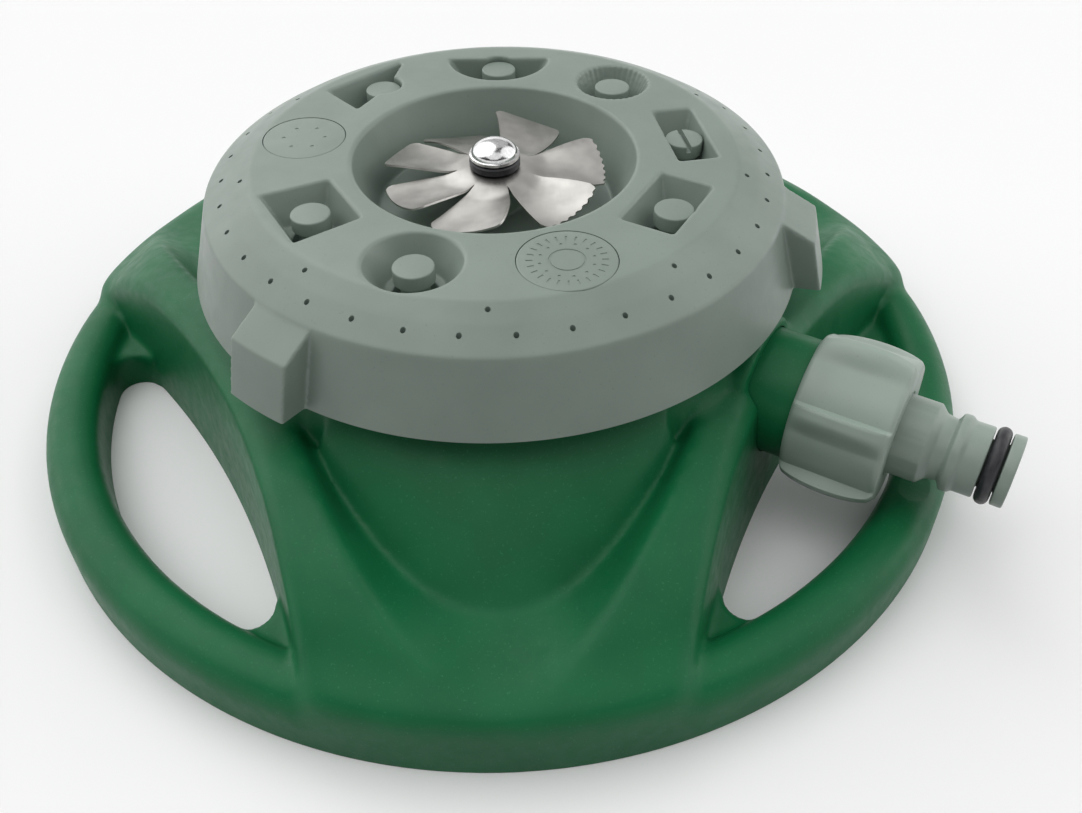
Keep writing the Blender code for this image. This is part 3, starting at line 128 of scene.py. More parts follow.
# Dial
DIAL_TOP_Z = 64.4 * MM
DIAL_FLAT_R = 52.0 * MM
SHOULDER = (56.6 * MM, 62.4 * MM)
BEVEL = (62.3 * MM, 59.0 * MM)
SKIRT = (67.0 * MM, 43.0 * MM)
SKIRT_T = 2.4 * MM
SKIRT_OVERRUN = 0.15
DIAL_ROUND = 0.5 * MM
BOWL_RIM_R = 30.6 * MM
BOWL_FLOOR_R = 26.0 * MM
BOWL_FLOOR_Z = 51.8 * MM
POST_R = 5.5 * MM
POST_TOP_Z = 57.2 * MM
PATTERNS = 9
PATTERN_STEP = 2 * pi / PATTERNS
PORT_AZ = radians(-30.5)
PATTERN_ORDER = ["corner", "slot", "flute", "half", "wedge", "mist", "fan", "cone", "shower"]
PLUG_PCR = 42.3 * MM
PLUG_R = 4.1 * MM
PLUG_CAP_Z = 60.0 * MM
PLUG_TOP_Z = 63.2 * MM
PLUG_STEM_R = 2.9 * MM
POCKET_FLOOR_Z = 57.4 * MM
WELL_DEPTH = 3.0 * MM
POCKET_TAPER = 0.62
POCKET_OVERRUN = 1.3
LOBES_AZ = PORT_AZ - PATTERN_STEP
LOBE_SPREAD = radians(58.2)
LOBE_WIDTH = 14.8 * MM
LOBE_R = 72.7 * MM
LOBE_FLARE = 3.1 * MM
LOBE_OVERRUN = 2 * MM
DIAL_STEPS = 240
OUTER_JETS = 36
OUTER_JET_PCR = 58.5 * MM
OUTER_JET_AZ = radians(-25.5)
INNER_JETS = 9
INNER_JET_PCR = 53.8 * MM
INNER_JET_AZ = radians(-50.5)
FLOOR_JETS = 6
FLOOR_JET_PCR = 19.0 * MM
FLOOR_JET_R = 1.6 * MM
JET_R = 0.55 * MM
JET_DEPTH = 2.5 * MM
INSERT_PCR = 42.6 * MM
INSERT_T = 1.2 * MM
INSERT_GAP = 0.12 * MM
INSERTS = [("shower", 9.7 * MM), ("mist", 9.0 * MM)]
PLATE_TOP_Z = 49.5 * MM
PLATE_R = 62.8 * MM
DIAL_VOXEL = 0.36 * MM
DIAL_KEPT = 0.4
FLOOR_JET_DEPTH = 1.2 * MM
PLUG_SLOT_HALF = 0.55 * MM
PLUG_SLOT_DEPTH = 1.4 * MM
PLUG_CHAMFER = 0.35 * MM

# Marks on the shower and mist discs
MARK_DEPTH = 0.12 * MM
SHOWER_RING_R = 3.4 * MM
SHOWER_RING_WIDTH = 0.45 * MM
SHOWER_SLOTS = 24
SHOWER_SLOT_PCR = 7.2 * MM
SHOWER_SLOT_LENGTH = 1.3 * MM
SHOWER_SLOT_WIDTH = 0.36 * MM
SHOWER_DOTS = 12
SHOWER_DOT_PCR = 5.3 * MM
SHOWER_DOT_R = 0.3 * MM
SHOWER_DOT_TURN = 0.2
MIST_HOLES = 6
MIST_HOLE_PCR = 4.5 * MM
MIST_HOLE_R = 0.4 * MM

# Mouths of the plug pockets. Four-sided ones as inner and outer radius and half widths
FAN_POCKET = (34.6 * MM, 49.5 * MM, 8.4 * MM, 9.8 * MM)
CORNER_POCKET = (34.8 * MM, 46.6 * MM, 10.0 * MM, 10.0 * MM)
SLOT_POCKET = (37.9 * MM, 46.9 * MM, 11.2 * MM, 11.2 * MM)
CONE_POCKET_R = 9.8 * MM
FLUTE_POCKET_R = 8.5 * MM
FLUTES = 36
FLUTE_DEPTH = 0.3 * MM
HALF_POCKET_EDGE = 45.6 * MM
HALF_POCKET_R = 12.4 * MM
HALF_POCKET_MIDDLE = 46.5 * MM
WEDGE_POCKET = [(48.1 * MM, 11.8 * MM), (36.2 * MM, 11.3 * MM), (40.6 * MM, 0),
                (49.2 * MM, -10.7 * MM)]

# Inlet
INLET_AZ = radians(-31)
INLET_Z = 26.5 * MM
SPIGOT_R = 12.2 * MM
SPIGOT_BORE_R = 8.0 * MM
THREAD_R = 13.2 * MM
SHANK_END = 76.8 * MM
THREAD_START = 77.5 * MM
SPIGOT_END = 89.0 * MM
THREAD_CRESTS = 3
CHANNEL_END = 31.5 * MM
SADDLE_START = 50.0 * MM
SADDLE_END = 66.4 * MM
SADDLE_T = 1.9 * MM
TOWER_R = 9.5 * MM
TOWER_BORE_R = 7.7 * MM
EAR_OUT = 19.0 * MM
EAR_R = 4.2 * MM
EAR_T = 3.0 * MM
EAR_TOP_Z = 28.0 * MM

# Nut and hose tail, stations along the inlet
NUT_START = 76.2 * MM
NUT_LENGTH = 20.1 * MM
NUT_BODY_R = 15.2 * MM
NUT_FIN_R = 18.0 * MM
NUT_FINS = 6
NUT_FIN_AT = radians(20)
NUT_FIN_FACE = 0.05
NUT_FIN_CREST = 0.13
NUT_FIN_FALL = 0.42
NUT_END_ROUND = 0.8 * MM
NUT_END_SHARE = 0.05
NUT_END_WALL = 2.4 * MM
TAIL_FLANGE_T = 2.0 * MM
TAIL_FLANGE_R = THREAD_R - GAP
TAIL_COLLAR_R = 8.6 * MM
TAIL_COLLAR_END = 102.3 * MM
TAIL_FLUTES = 8
TAIL_FLUTE_DEPTH = 0.9 * MM
TAIL_FLUTE_SIDES = (0.08, 0.24)
TAIL_ROUND = 0.4 * MM
TAIL_NECK_R = 6.6 * MM
TAIL_RIDGE = (107.0 * MM, 108.6 * MM)
TAIL_RIDGE_R = 8.2 * MM
TAIL_BARREL_R = 7.5 * MM
O_RING_AT = 115.1 * MM
O_RING_WIRE_R = 1.45 * MM
O_RING_OUT_R = 8.15 * MM
TAIL_TIP = 119.3 * MM
TAIL_BORE_R = 3.4 * MM

# Spinner
BLADES = 7
BLADE_AZ = radians(7)
ROTOR_R = 24.0 * MM
ROTOR_T = 0.4 * MM
ROTOR_HUB_R = 8.0 * MM
ROTOR_HOLE_R = 3.3 * MM
ROTOR_Z = 59.8 * MM
HUB_RISE = 1.1 * MM
HUB_SLOPE_END = 12.0 * MM
BLADE_PITCH = 0.19
BLADE_SLOT = 0.2
BLADE_TRIM = 0.25 * MM
BLADE_CORNER = 1.4 * MM
BLADE_CAMBER = 0.9 * MM
BENT_BLADE = 2
BENT_DOWN = 3.4 * MM
BLADE_LEANS = [0, radians(12), radians(7), 0, radians(-3), radians(-9), 0]
TOOTH = 0.4 * MM
TOOTHED = (0, 6)
ROTOR_WASHER_R = 5.5 * MM
ROTOR_WASHER_Z = 61.6 * MM
ROTOR_WASHER_T = 1.6 * MM
ROTOR_SCREW_R = 1.6 * MM
ROTOR_HEAD_R = 5.4 * MM
ROTOR_HEAD_H = 3.7 * MM

# Camera, fitted to the photograph's frame
PHOTO_W = 1082
CAMERA_AT = (7.25 * MM, -205.3 * MM, 180.9 * MM)
CAMERA_YAW = radians(-0.61)
CAMERA_PITCH = radians(42.99)
CAMERA_ROLL = radians(-0.60)
CAMERA_FOCAL_PX = 1068.5
SENSOR_MM = 36.0

# Lights as (name, azimuth, elevation, share of a level surface's light, angle)
SUNS = [("key", 152, 47, 0.45, 80), ("right", 12, 36, 0.24, 70), ("back", 98, 38, 0.07, 60),
        ("front", -92, 62, 0.19, 60)]

GREEN = (0.0045, 0.126, 0.043)
GREY = (0.232, 0.288, 0.250)
BLACK = (0.014, 0.014, 0.018)
ALUMINIUM = (0.47, 0.46, 0.435)
CHROME = (0.78, 0.78, 0.78)
WHITE = (0.72, 0.72, 0.69)
BRASS = (0.72, 0.52, 0.22)
PALE = (0.96, 0.96, 0.96)
NUT_TONE = 1.36
TAIL_TONE = 1.2
FLOOR_BOUNCE = (0.35, 0.35, 0.35)
WORLD_LOW = 0.2
WORLD_HIGH = 0.05
HORIZON_LOW = radians(12)
HORIZON_HIGH = radians(20)
FLOOR_HALF = 6.0
FLOOR_DROP = 0.2 * MM


# Meshes
def linked(name, data):
    obj = bpy.data.objects.new(name, data)
    bpy.context.collection.objects.link(obj)
    return obj


def piece(name, verts, faces, place=None):
    mesh = bpy.data.meshes.new(name)
    mesh.from_pydata([tuple(v) for v in verts], [], faces)
    mesh.validate()
    if place is not None:
        mesh.transform(place)
    return linked(name, mesh)


def modified(obj, kind, **settings):
    """Runs one modifier and puts what it makes into the object's own mesh."""
    step = obj.modifiers.new("step", kind)
    for name, value in settings.items():
        setattr(step, name, value)
    graph = bpy.context.evaluated_depsgraph_get()
    made = bpy.data.meshes.new_from_object(obj.evaluated_get(graph))
    old = obj.data
    obj.modifiers.clear()
    obj.data = made
    bpy.data.meshes.remove(old)
    return obj


def shape_of(obj):
    mesh = obj.data
    return [tuple(v.co) for v in mesh.vertices], [tuple(face.vertices) for face in mesh.polygons]


def combine(target, verts, faces, operation="DIFFERENCE"):
    tool = piece("tool", verts, faces)
    modified(target, "BOOLEAN", operation=operation, solver="MANIFOLD", object=tool)
    bpy.data.objects.remove(tool, do_unlink=True)


def soften(obj, rounds, weight=None):
    """Draws each point towards the middle of its neighbours, as far as its weight says."""
    mesh = obj.data
    count = len(mesh.vertices)
    flat = np.empty(count * 3, np.float32)
    mesh.vertices.foreach_get("co", flat)
    points = flat.reshape(-1, 3).astype(float)
    ends = np.empty(len(mesh.edges) * 2, np.int32)
    mesh.edges.foreach_get("vertices", ends)
    a, b = ends.reshape(-1, 2).T
    degree = np.bincount(ends, minlength=count)
    share = 0.5 if weight is None else 0.5 * weight(points)
    for _ in range(rounds):
        for axis in range(3):
            line = points[:, axis]
            total = np.bincount(a, line[b], count) + np.bincount(b, line[a], count)
            points[:, axis] = line + share * (total / degree - line)
    mesh.vertices.foreach_set("co", points.astype(np.float32).ravel())
    mesh.update()


def shade(obj, sharp=35):
    obj.data.shade_smooth()
    obj.data.set_sharp_from_angle(angle=radians(sharp))
    return obj


def rings_to_faces(count, steps, loop=False):
    faces = []
    for k in range(count if loop else count - 1):
        low, high = k * steps, ((k + 1) % count) * steps
        for j in range(steps):
            i = (j + 1) % steps
            faces.append((low + j, low + i, high + i, high + j))
    return faces


def loft(rings, loop=False):
    """Closed body through rings; solid ends unless the rings join into a loop."""
    steps = len(rings[0])
    verts = [p for ring in rings for p in ring]
    faces = rings_to_faces(len(rings), steps, loop)
    if not loop:
        faces.append(tuple(reversed(range(steps))))
        top = (len(rings) - 1) * steps
        faces.append(tuple(range(top, top + steps)))
    return verts, faces


def circle(radius, z, steps, middle=(0, 0), start=0.0):
    turns = [start + 2 * pi * k / steps for k in range(steps)]
    return [(middle[0] + radius * cos(a), middle[1] + radius * sin(a), z) for a in turns]


def turned(profile, steps, middle=(0, 0), loop=False):
    """Body turned about a vertical axis. Profiles run up the outer side."""
    return loft([circle(r, z, steps, middle) for r, z in profile], loop)


def rod(radius, low, high, steps, middle=(0, 0)):
    return turned([(radius, low), (radius, high)], steps, middle)


def merged(shapes):
    verts, faces = [], []
    for some_verts, some_faces in shapes:
        first = len(verts)
        verts += some_verts
        faces += [tuple(first + i for i in face) for face in some_faces]
    return verts, faces


def rounded(profile, radius, steps=3):
    """The open profile with its inner corners rounded."""
    points = [profile[0]]
    for before, corner, after in zip(profile, profile[1:], profile[2:]):
        c = Vector(corner)
        into, out = Vector(before) - c, Vector(after) - c
        reach = min(radius, 0.45 * into.length, 0.45 * out.length)
        start, end = c + reach * into.normalized(), c + reach * out.normalized()
        for k in range(steps + 1):
            t = k / steps
            p = (1 - t) ** 2 * start + 2 * t * (1 - t) * c + t * t * end
            points.append((p.x, p.y))
    return points + [profile[-1]]


def polar(radius, azimuth):
    return radius * cos(azimuth), radius * sin(azimuth)


def rotated(x, y, azimuth):
    return x * cos(azimuth) - y * sin(azimuth), x * sin(azimuth) + y * cos(azimuth)


def around(count, radius, azimuth):
    return [polar(radius, azimuth + 2 * pi * k / count) for k in range(count)]


def facing_up(outline):
    area = sum(a[0] * b[1] - b[0] * a[1] for a, b in zip(outline, outline[1:] + outline[:1]))
    return outline if area > 0 else outline[::-1]


def along_inlet():
    """Lays a body made about +Z along the inlet, +Z pointing outwards."""
    outwards = Vector((cos(INLET_AZ), sin(INLET_AZ), 0))
    sideways = Vector((-sin(INLET_AZ), cos(INLET_AZ), 0))
    turn = Matrix((sideways, Vector((0, 0, 1)), outwards)).transposed().to_4x4()
    return Matrix.Translation((0, 0, INLET_Z)) @ turn


def share_of(value, low, high):
    return min(max((value - low) / (high - low), 0), 1)


def smooth_share(value, low, high):
    t = share_of(value, low, high)
    return t * t * (3 - 2 * t)


def smooth_height(knots, r):
    slopes = []
    for k in range(len(knots)):
        a, b = knots[max(k - 1, 0)], knots[min(k + 1, len(knots) - 1)]
        slopes.append((b[1] - a[1]) / (b[0] - a[0]))
    k = 0
    while k < len(knots) - 2 and r > knots[k + 1][0]:
        k += 1
    (r0, z0), (r1, z1) = knots[k], knots[k + 1]
    span = r1 - r0
    t = (r - r0) / span
    return (z0 * (2 * t**3 - 3 * t**2 + 1) + z1 * (3 * t**2 - 2 * t**3)
            + slopes[k] * span * (t**3 - 2 * t**2 + t) + slopes[k + 1] * span * (t**3 - t**2))


# Base
def ridge_radius(phi, inset):
    alpha = PANEL_STEP / 2 - abs(phi)
    waist = WAIST - inset
    curl = RIDGE_CURL * sin(alpha) ** 2
    if curl < 1e-6:
        return waist / cos(alpha)
    root = cos(alpha) ** 2 - 4 * waist * curl
    return (cos(alpha) - sqrt(root)) / (2 * curl) if root > 0 else 10 * RING_R


def edge_radius(phi, inset=0.0):
    return min(RING_R - inset, ridge_radius(phi, inset))


def corner_angle():
    b = 2 * WAIST * RIDGE_CURL + 1
    t2 = (-b + sqrt(b * b - 4 * RIDGE_CURL**2 * (WAIST**2 - RING_R**2))) / (2 * RIDGE_CURL**2)
    return PANEL_STEP / 2 - atan2(sqrt(t2), WAIST + RIDGE_CURL * t2)


def vee_radius(phi, tip, curl):
    bend = curl * sin(phi) ** 2
    if bend < 1e-6:
        return tip / cos(phi)
    return (-cos(phi) + sqrt(cos(phi) ** 2 + 4 * bend * tip)) / (2 * bend)


def panel_height(r, phi):
    crown = smooth_height(CROWN, r)
    inner = vee_radius(phi, VEE_IN_TIP, VEE_IN_CURL)
    outer = vee_radius(phi, VEE_OUT_TIP, VEE_OUT_CURL)
    if abs(phi) >= TONGUE_HALF or r >= outer:
        return crown
    valley = VEE_IN_H + VEE_IN_RISE * (inner * sin(phi)) ** 2
    if r >= inner or inner < NECK_FOOT_R + WALL:
        share = share_of(r, inner, outer)
        return valley + share * (smooth_height(CROWN, outer) - valley)
    swell = 1 - (phi / TONGUE_HALF) ** 2
    top = smooth_height(CROWN, NECK_FOOT_R) + TONGUE_RISE * swell
    share = (r - NECK_FOOT_R) / (inner - NECK_FOOT_R)
    return top + share * (valley - top) + 4 * TONGUE_BULGE * swell * share * (1 - share)


def ridge_drop(phi):
    corner = corner_angle()
    return RIDGE_DROP * smooth_share(abs(phi), corner - radians(2), corner + radians(3))


def panel_angles(on_ring, on_ridge):
    corner = corner_angle()
    half = PANEL_STEP / 2
    right = [corner * k / on_ring for k in range(on_ring)]
    right += [corner + (half - corner) * k / on_ridge for k in range(on_ridge)]
    return [-a for a in reversed(right[1:])] + right + [half]


def shell_column(phi, rows, foot_z, inset=0.0, sink=0.0):
    """(radius, height, angle) from the deck's edge out and down to the foot, at one angle."""
    tongue, crescent, outer_rows = rows
    column = [(NECK_R - inset, DECK_Z - sink)]
    column += [(NECK_R + out - inset, DECK_Z - down - sink) for out, down in NECK_STEPS]
    start = NECK_FOOT_R - inset
    edge = edge_radius(phi, inset)
    span = edge - RIDGE_STRIP - start
    beside = share_of(abs(phi), 0.8 * TONGUE_HALF, 1.1 * TONGUE_HALF)
    inner = (vee_radius(phi, VEE_IN_TIP, VEE_IN_CURL) - start) / span
    inner = max(inner, 0.1 + 0.3 * beside)
    outer = (vee_radius(phi, VEE_OUT_TIP, VEE_OUT_CURL) - start) / span
    outer = min(max(outer, inner + 0.1 + 0.15 * beside), 0.97)
    shares = [inner * k / tongue for k in range(tongue)]
    shares += [inner + (outer - inner) * k / crescent for k in range(crescent)]
    shares += [outer + (1 - outer) * k / outer_rows for k in range(outer_rows + 1)]
    for share in shares:
        r = start + share * span
        column.append((r, panel_height(r, phi) - sink))
    rim_z = panel_height(edge, phi) - ridge_drop(phi) - sink
    column.append((edge, rim_z))
    lean = WALL_LEAN * (rim_z - foot_z) if abs(phi) > corner_angle() else 0.0
    alpha = PANEL_STEP / 2 - abs(phi)
    s, t = edge * cos(alpha) + lean, edge * sin(alpha)
    column = [(r, z, abs(phi)) for r, z in column]
    column.append((min(hypot(s, t), RING_R - inset), foot_z, PANEL_STEP / 2 - atan2(t, s)))
    return column


def base_shell(angles, rows, foot_z, inset=0.0, sink=0.0):
    columns = []
    for panel in range(PANELS):
        middle = FIRST_PANEL_AZ + panel * PANEL_STEP
        for phi in angles[:-1]:
            side = 1 if phi >= 0 else -1
            column = shell_column(phi, rows, foot_z, inset, sink)
            columns.append([(*polar(r, middle + side * turn), z) for r, z, turn in column])
    rings = [list(ring) for ring in zip(*columns)]
    return loft(rings[::-1])


def grip_section():
    inner_r = RING_R - GRIP_WIDTH
    crest_r = inner_r + GRIP_WIDTH * GRIP_CREST_SHARE
    section = [(RING_R, -BELOW)]
    for k in range(13):
        a = pi / 2 * k / 12
        section.append((crest_r + (RING_R - crest_r) * cos(a),
                        GRIP_SIDE_H + (GRIP_TOP_H - GRIP_SIDE_H) * sin(a)))
    for k in range(1, 11):
        a = pi / 2 * k / 10
        section.append((crest_r - (crest_r - inner_r) * sin(a),
                        GRIP_INNER_H + (GRIP_TOP_H - GRIP_INNER_H) * cos(a)))
    return section + [(inner_r, -BELOW)]


def grip(opening_az):
    half = PANEL_STEP / 2 - corner_angle() + GRIP_ROOT
    first_az, last_az = opening_az - half, opening_az + half
    section = grip_section()
    rings = []
    for k in range(GRIP_STEPS + 1):
        az = first_az + (last_az - first_az) * k / GRIP_STEPS
        rings.append([(*polar(r, az), z) for r, z in section])
    return loft(rings[::-1])


def bisect(rising, low, high):
    for _ in range(40):
        middle = (low + high) / 2
        low, high = (middle, high) if rising(middle) < 0 else (low, middle)
    return low


def wall_foot(t):
    return WAIST + RIDGE_CURL * t * t + WALL_LEAN * CROWN[1][1]


def fillet_centre(t):
    slope = 2 * RIDGE_CURL * t
    return wall_foot(t) + GRIP_FILLET * sqrt(1 + slope * slope), t


def corner_fillet(opening_az, side):
    """Wedge that rounds the corner between a grip's inner face and the side wall."""
    inner_r = RING_R - GRIP_WIDTH
    t = bisect(lambda t: hypot(*fillet_centre(t)) - (inner_r - GRIP_FILLET), 0, inner_r)
    centre = fillet_centre(t)
    to_ring = atan2(centre[1], centre[0])
    to_wall = atan2(2 * RIDGE_CURL * t, -1)
    corner_t = bisect(lambda t: hypot(wall_foot(t), t) - inner_r, 0, inner_r)
    away = (corner_t - centre[1], wall_foot(corner_t) - centre[0])
    to_corner, reach = atan2(*away), hypot(*away) + 1.2 * WALL
    bite = GRIP_FILLET + 0.6 * WALL
    around_it = [(GRIP_FILLET, to_ring + (to_wall - to_ring) * k / 16) for k in range(17)]
    around_it += [(bite, to_wall), (reach, to_corner), (bite, to_ring)]
    outline = []
    for r, a in around_it:
        s, side_t = centre[0] + r * cos(a), side * (centre[1] + r * sin(a))
        outline.append(rotated(s, side_t, opening_az))
    outline = facing_up(outline)
    return loft([[(x, y, z) for x, y in outline] for z in (-BELOW, GRIP_INNER_H - GAP)])


def ear_points():
    return [rotated(PLUG_PCR, sideways, INLET_AZ) for sideways in (-EAR_OUT, EAR_OUT)]


def inlet_rod(radius, low, high):
    verts, faces = rod(radius, low, high, 64)
    place = along_inlet()
    return [tuple(place @ Vector(v)) for v in verts], faces


def on_panels(points):
    """Radius, and angle from the middle of the nearest panel."""
    r = np.hypot(points[:, 0], points[:, 1])
    turn = np.arctan2(points[:, 1], points[:, 0]) - FIRST_PANEL_AZ
    return r, np.abs((turn + PANEL_STEP / 2) % PANEL_STEP - PANEL_STEP / 2)


def at_grip_roots(points):
    """Weight near the six places where a grip runs into a panel."""
    weight = np.zeros(len(points))
    turn = PANEL_STEP / 2 - corner_angle()
    for opening_az in OPENINGS_AZ:
        for side in (-1, 1):
            x, y = polar(RING_R - 0.45 * GRIP_WIDTH, opening_az + side * turn)
            away = np.hypot(points[:, 0] - x, points[:, 1] - y) / CORNER_REACH
            weight = np.maximum(weight, np.clip(1.5 * (1 - away), 0, 1))
    return weight * np.clip((points[:, 2] - 0.6 * GRIP_SIDE_H) / FADE, 0, 1)


def at_creases(points):
    """Weight along the vees' creases on the panels, less on the inner one."""
    r, phi = on_panels(points)
    weight = np.zeros(len(points))
    for tip, curl, most in CREASES:
        bend = np.maximum(curl * np.sin(phi) ** 2, 1e-6)
        vee = (-np.cos(phi) + np.sqrt(np.cos(phi) ** 2 + 4 * bend * tip)) / (2 * bend)
        weight = np.maximum(weight, most * np.clip(1.6 - np.abs(r - vee) / CREASE_REACH, 0, 1))
    return weight * (phi < 1.1 * TONGUE_HALF) * np.clip((points[:, 2] - CREASE_FOOT_Z) / FADE, 0, 1)


def at_rims(points):
    """Weight along the panels' outer edges, between the grips."""
    r, phi = on_panels(points)
    high = np.clip(1.4 - np.abs(points[:, 2] - RIM_Z) / RIM_REACH, 0, 1)
    outer = np.clip((r - RING_R) / RIM_REACH_IN + 1.6, 0, 1)
    return high * outer * (phi < corner_angle() + radians(2))


def base_piece():
    shapes = [base_shell(panel_angles(*SKIN_ANGLES), SKIN_ROWS, -BELOW)]
    for opening_az in OPENINGS_AZ:
        shapes.append(grip(opening_az))
        shapes += [corner_fillet(opening_az, side) for side in (-1, 1)]
    bore_r = THREAD_R + GAP
    shapes.append(inlet_rod(bore_r + SADDLE_T, SADDLE_START, SADDLE_END))
    housing = piece("green_housing", *merged(shapes))
    modified(housing, "REMESH", mode="VOXEL", voxel_size=BASE_VOXEL)
    for rounds, weight in ((EDGE_ROUNDS, None), (ROOT_ROUNDS, at_grip_roots),
                           (CREASE_ROUNDS, at_creases), (RIM_ROUNDS, at_rims)):
        soften(housing, round(rounds * (FINE_VOXEL / BASE_VOXEL)), weight)
    modified(housing, "DECIMATE", ratio=BASE_KEPT)
    angles = panel_angles(*HOLLOW_ANGLES)
    combine(housing, *base_shell(angles, HOLLOW_ROWS, -2 * BELOW, WALL, SHELL_SINK))
    deck_inside, over = DECK_Z - WALL / 2, DECK_Z + WALL
    posts = [rod(BOSS_R, BOSS_FOOT_Z, deck_inside, 48)]
    posts += [rod(EAR_R, EAR_TOP_Z + GAP, deck_inside, 32, ear) for ear in ear_points()]
    combine(housing, *merged(posts), operation="UNION")
    combine(housing, *inlet_rod(bore_r, SADDLE_START - WALL, RING_R))
    combine(housing, *rod(STEM_BORE_R, STEM_BORE_Z, over, 48))
    combine(housing, *rod(TOWER_R + GAP, EAR_TOP_Z + EAR_T, over, 48, polar(PLUG_PCR, PORT_AZ)))
    combine(housing, *rod(1, -3 * BELOW, 0, 4))
    return shade(housing, 50)


def water_way_piece():
    profile = [(SPIGOT_R, CHANNEL_END), (SPIGOT_R, SADDLE_START), (THREAD_R, SADDLE_START + WALL),
               (THREAD_R, SHANK_END), (SPIGOT_R, SHANK_END + GAP)]
    pitch = (SPIGOT_END - THREAD_START) / THREAD_CRESTS
    for k in range(THREAD_CRESTS):
        at = THREAD_START + pitch * k
        profile += [(SPIGOT_R, at + 0.1 * pitch), (THREAD_R, at + 0.4 * pitch),
                    (THREAD_R, at + 0.6 * pitch), (SPIGOT_R, at + 0.9 * pitch)]
    profile += [(SPIGOT_R, SPIGOT_END)]
    way = piece("green_water_way", *turned(profile, 96), along_inlet())
    tower = polar(PLUG_PCR, PORT_AZ)
    combine(way, *rod(TOWER_R, INLET_Z, DECK_Z, 64, tower), operation="UNION")
    plan = [rotated(PLUG_PCR + side * EAR_R * cos(pi * k / 16),
                    side * (EAR_OUT + EAR_R * sin(pi * k / 16)), INLET_AZ)
            for side in (1, -1) for k in range(17)]
    ears = loft([[(x, y, z) for x, y in facing_up(plan)] for z in (EAR_TOP_Z - EAR_T, EAR_TOP_Z)])
    combine(way, *ears, operation="UNION")
    combine(way, *inlet_rod(SPIGOT_BORE_R, CHANNEL_END + WALL, RING_R))
    combine(way, *rod(TOWER_BORE_R, INLET_Z, DECK_Z + WALL, 48, tower))
    return shade(way, 30)


# Dial
def dial_blank():
    """The skirt runs on past its lower edge, where it is cut off later."""
    foot = (SKIRT[0] + (SKIRT[0] - BEVEL[0]) * SKIRT_OVERRUN,
            SKIRT[1] - (BEVEL[1] - SKIRT[1]) * SKIRT_OVERRUN)
    profile = [foot, BEVEL, SHOULDER,
               (DIAL_FLAT_R, DIAL_TOP_Z), (BOWL_RIM_R, DIAL_TOP_Z), (BOWL_FLOOR_R, BOWL_FLOOR_Z),
               (POST_R, BOWL_FLOOR_Z), (POST_R, POST_TOP_Z)]
    return turned(rounded(profile, DIAL_ROUND), DIAL_STEPS)


def lobes():
    """Finger lobes with parallel ends, which carry the bevel on outwards."""
    top_r = LOBE_R - LOBE_FLARE
    slope = (SHOULDER[1] - BEVEL[1]) / (BEVEL[0] - SHOULDER[0])
    top_z = BEVEL[1] - slope * (top_r - BEVEL[0])
    lean = LOBE_FLARE / (top_z - SKIRT[1])
    low = SKIRT[1] - LOBE_OVERRUN
    section = [(SKIRT[0] - SKIRT_T, low), (LOBE_R + lean * LOBE_OVERRUN, low), (top_r, top_z),
               (BEVEL[0] - GAP, BEVEL[1] - GAP / 2), (BEVEL[0] - SKIRT_T, BEVEL[1] - SKIRT_T)]
    steps = 16
    shapes = []
    for azimuth in (LOBES_AZ - LOBE_SPREAD, LOBES_AZ + LOBE_SPREAD, LOBES_AZ + pi):
        rings = []
        for k in range(steps + 1):
            sideways = LOBE_WIDTH * (k / steps - 0.5)
            rings.append([(*polar(r, azimuth + asin(sideways / r)), z) for r, z in section])
        shapes.append(loft(rings[::-1]))
    return shapes


def arc(middle, radius, first, last, steps):
    """Points from a first to a last angle in degrees, round a middle on the radial line."""
    turns = [radians(first + (last - first) * k / steps) for k in range(steps + 1)]
    return [(middle + radius * cos(a), radius * sin(a)) for a in turns]


def half_moon(straight, radius, middle):
    edge = degrees(acos((straight - middle) / radius))
    return arc(middle, radius, edge, 360 - edge, 32)


def fluted_pocket():
    steps = 4 * FLUTES
    points = []
    for k in range(steps):
        a = 2 * pi * k / steps
        r = FLUTE_POCKET_R + FLUTE_DEPTH * cos(FLUTES * a)
        points.append((PLUG_PCR + r * cos(a), r * sin(a)))
    return points


def four_sided(inner_r, outer_r, inner_half, outer_half):
    return [(inner_r, -inner_half), (outer_r, -outer_half), (outer_r, outer_half),
            (inner_r, inner_half)]


def pattern_outlines():
    """Mouths of the pockets as (radial, sideways) points."""
    return {
        "fan": four_sided(*FAN_POCKET),
        "cone": arc(PLUG_PCR, CONE_POCKET_R, 0, 354, 59),
        "corner": four_sided(*CORNER_POCKET),
        "slot": four_sided(*SLOT_POCKET),
        "flute": fluted_pocket(),
        "half": half_moon(HALF_POCKET_EDGE, HALF_POCKET_R, HALF_POCKET_MIDDLE),
        "wedge": WEDGE_POCKET,
    }


def pattern_azimuth(name):
    return PORT_AZ + PATTERN_ORDER.index(name) * PATTERN_STEP


def placed(points, azimuth, z):
    return [(*rotated(x, y, azimuth), z) for x, y in points]


def pocket(name, outline):
    """Sloping pocket, carried on above the dial's top at the same slope."""
    azimuth = pattern_azimuth(name)
    rings = []
    for share in (0, 1, POCKET_OVERRUN):
        size = POCKET_TAPER + (1 - POCKET_TAPER) * share
        z = POCKET_FLOOR_Z + (DIAL_TOP_Z - POCKET_FLOOR_Z) * share
        points = [(PLUG_PCR + (x - PLUG_PCR) * size, y * size) for x, y in facing_up(outline)]
        rings.append(placed(points, azimuth, z))
    return loft(rings)


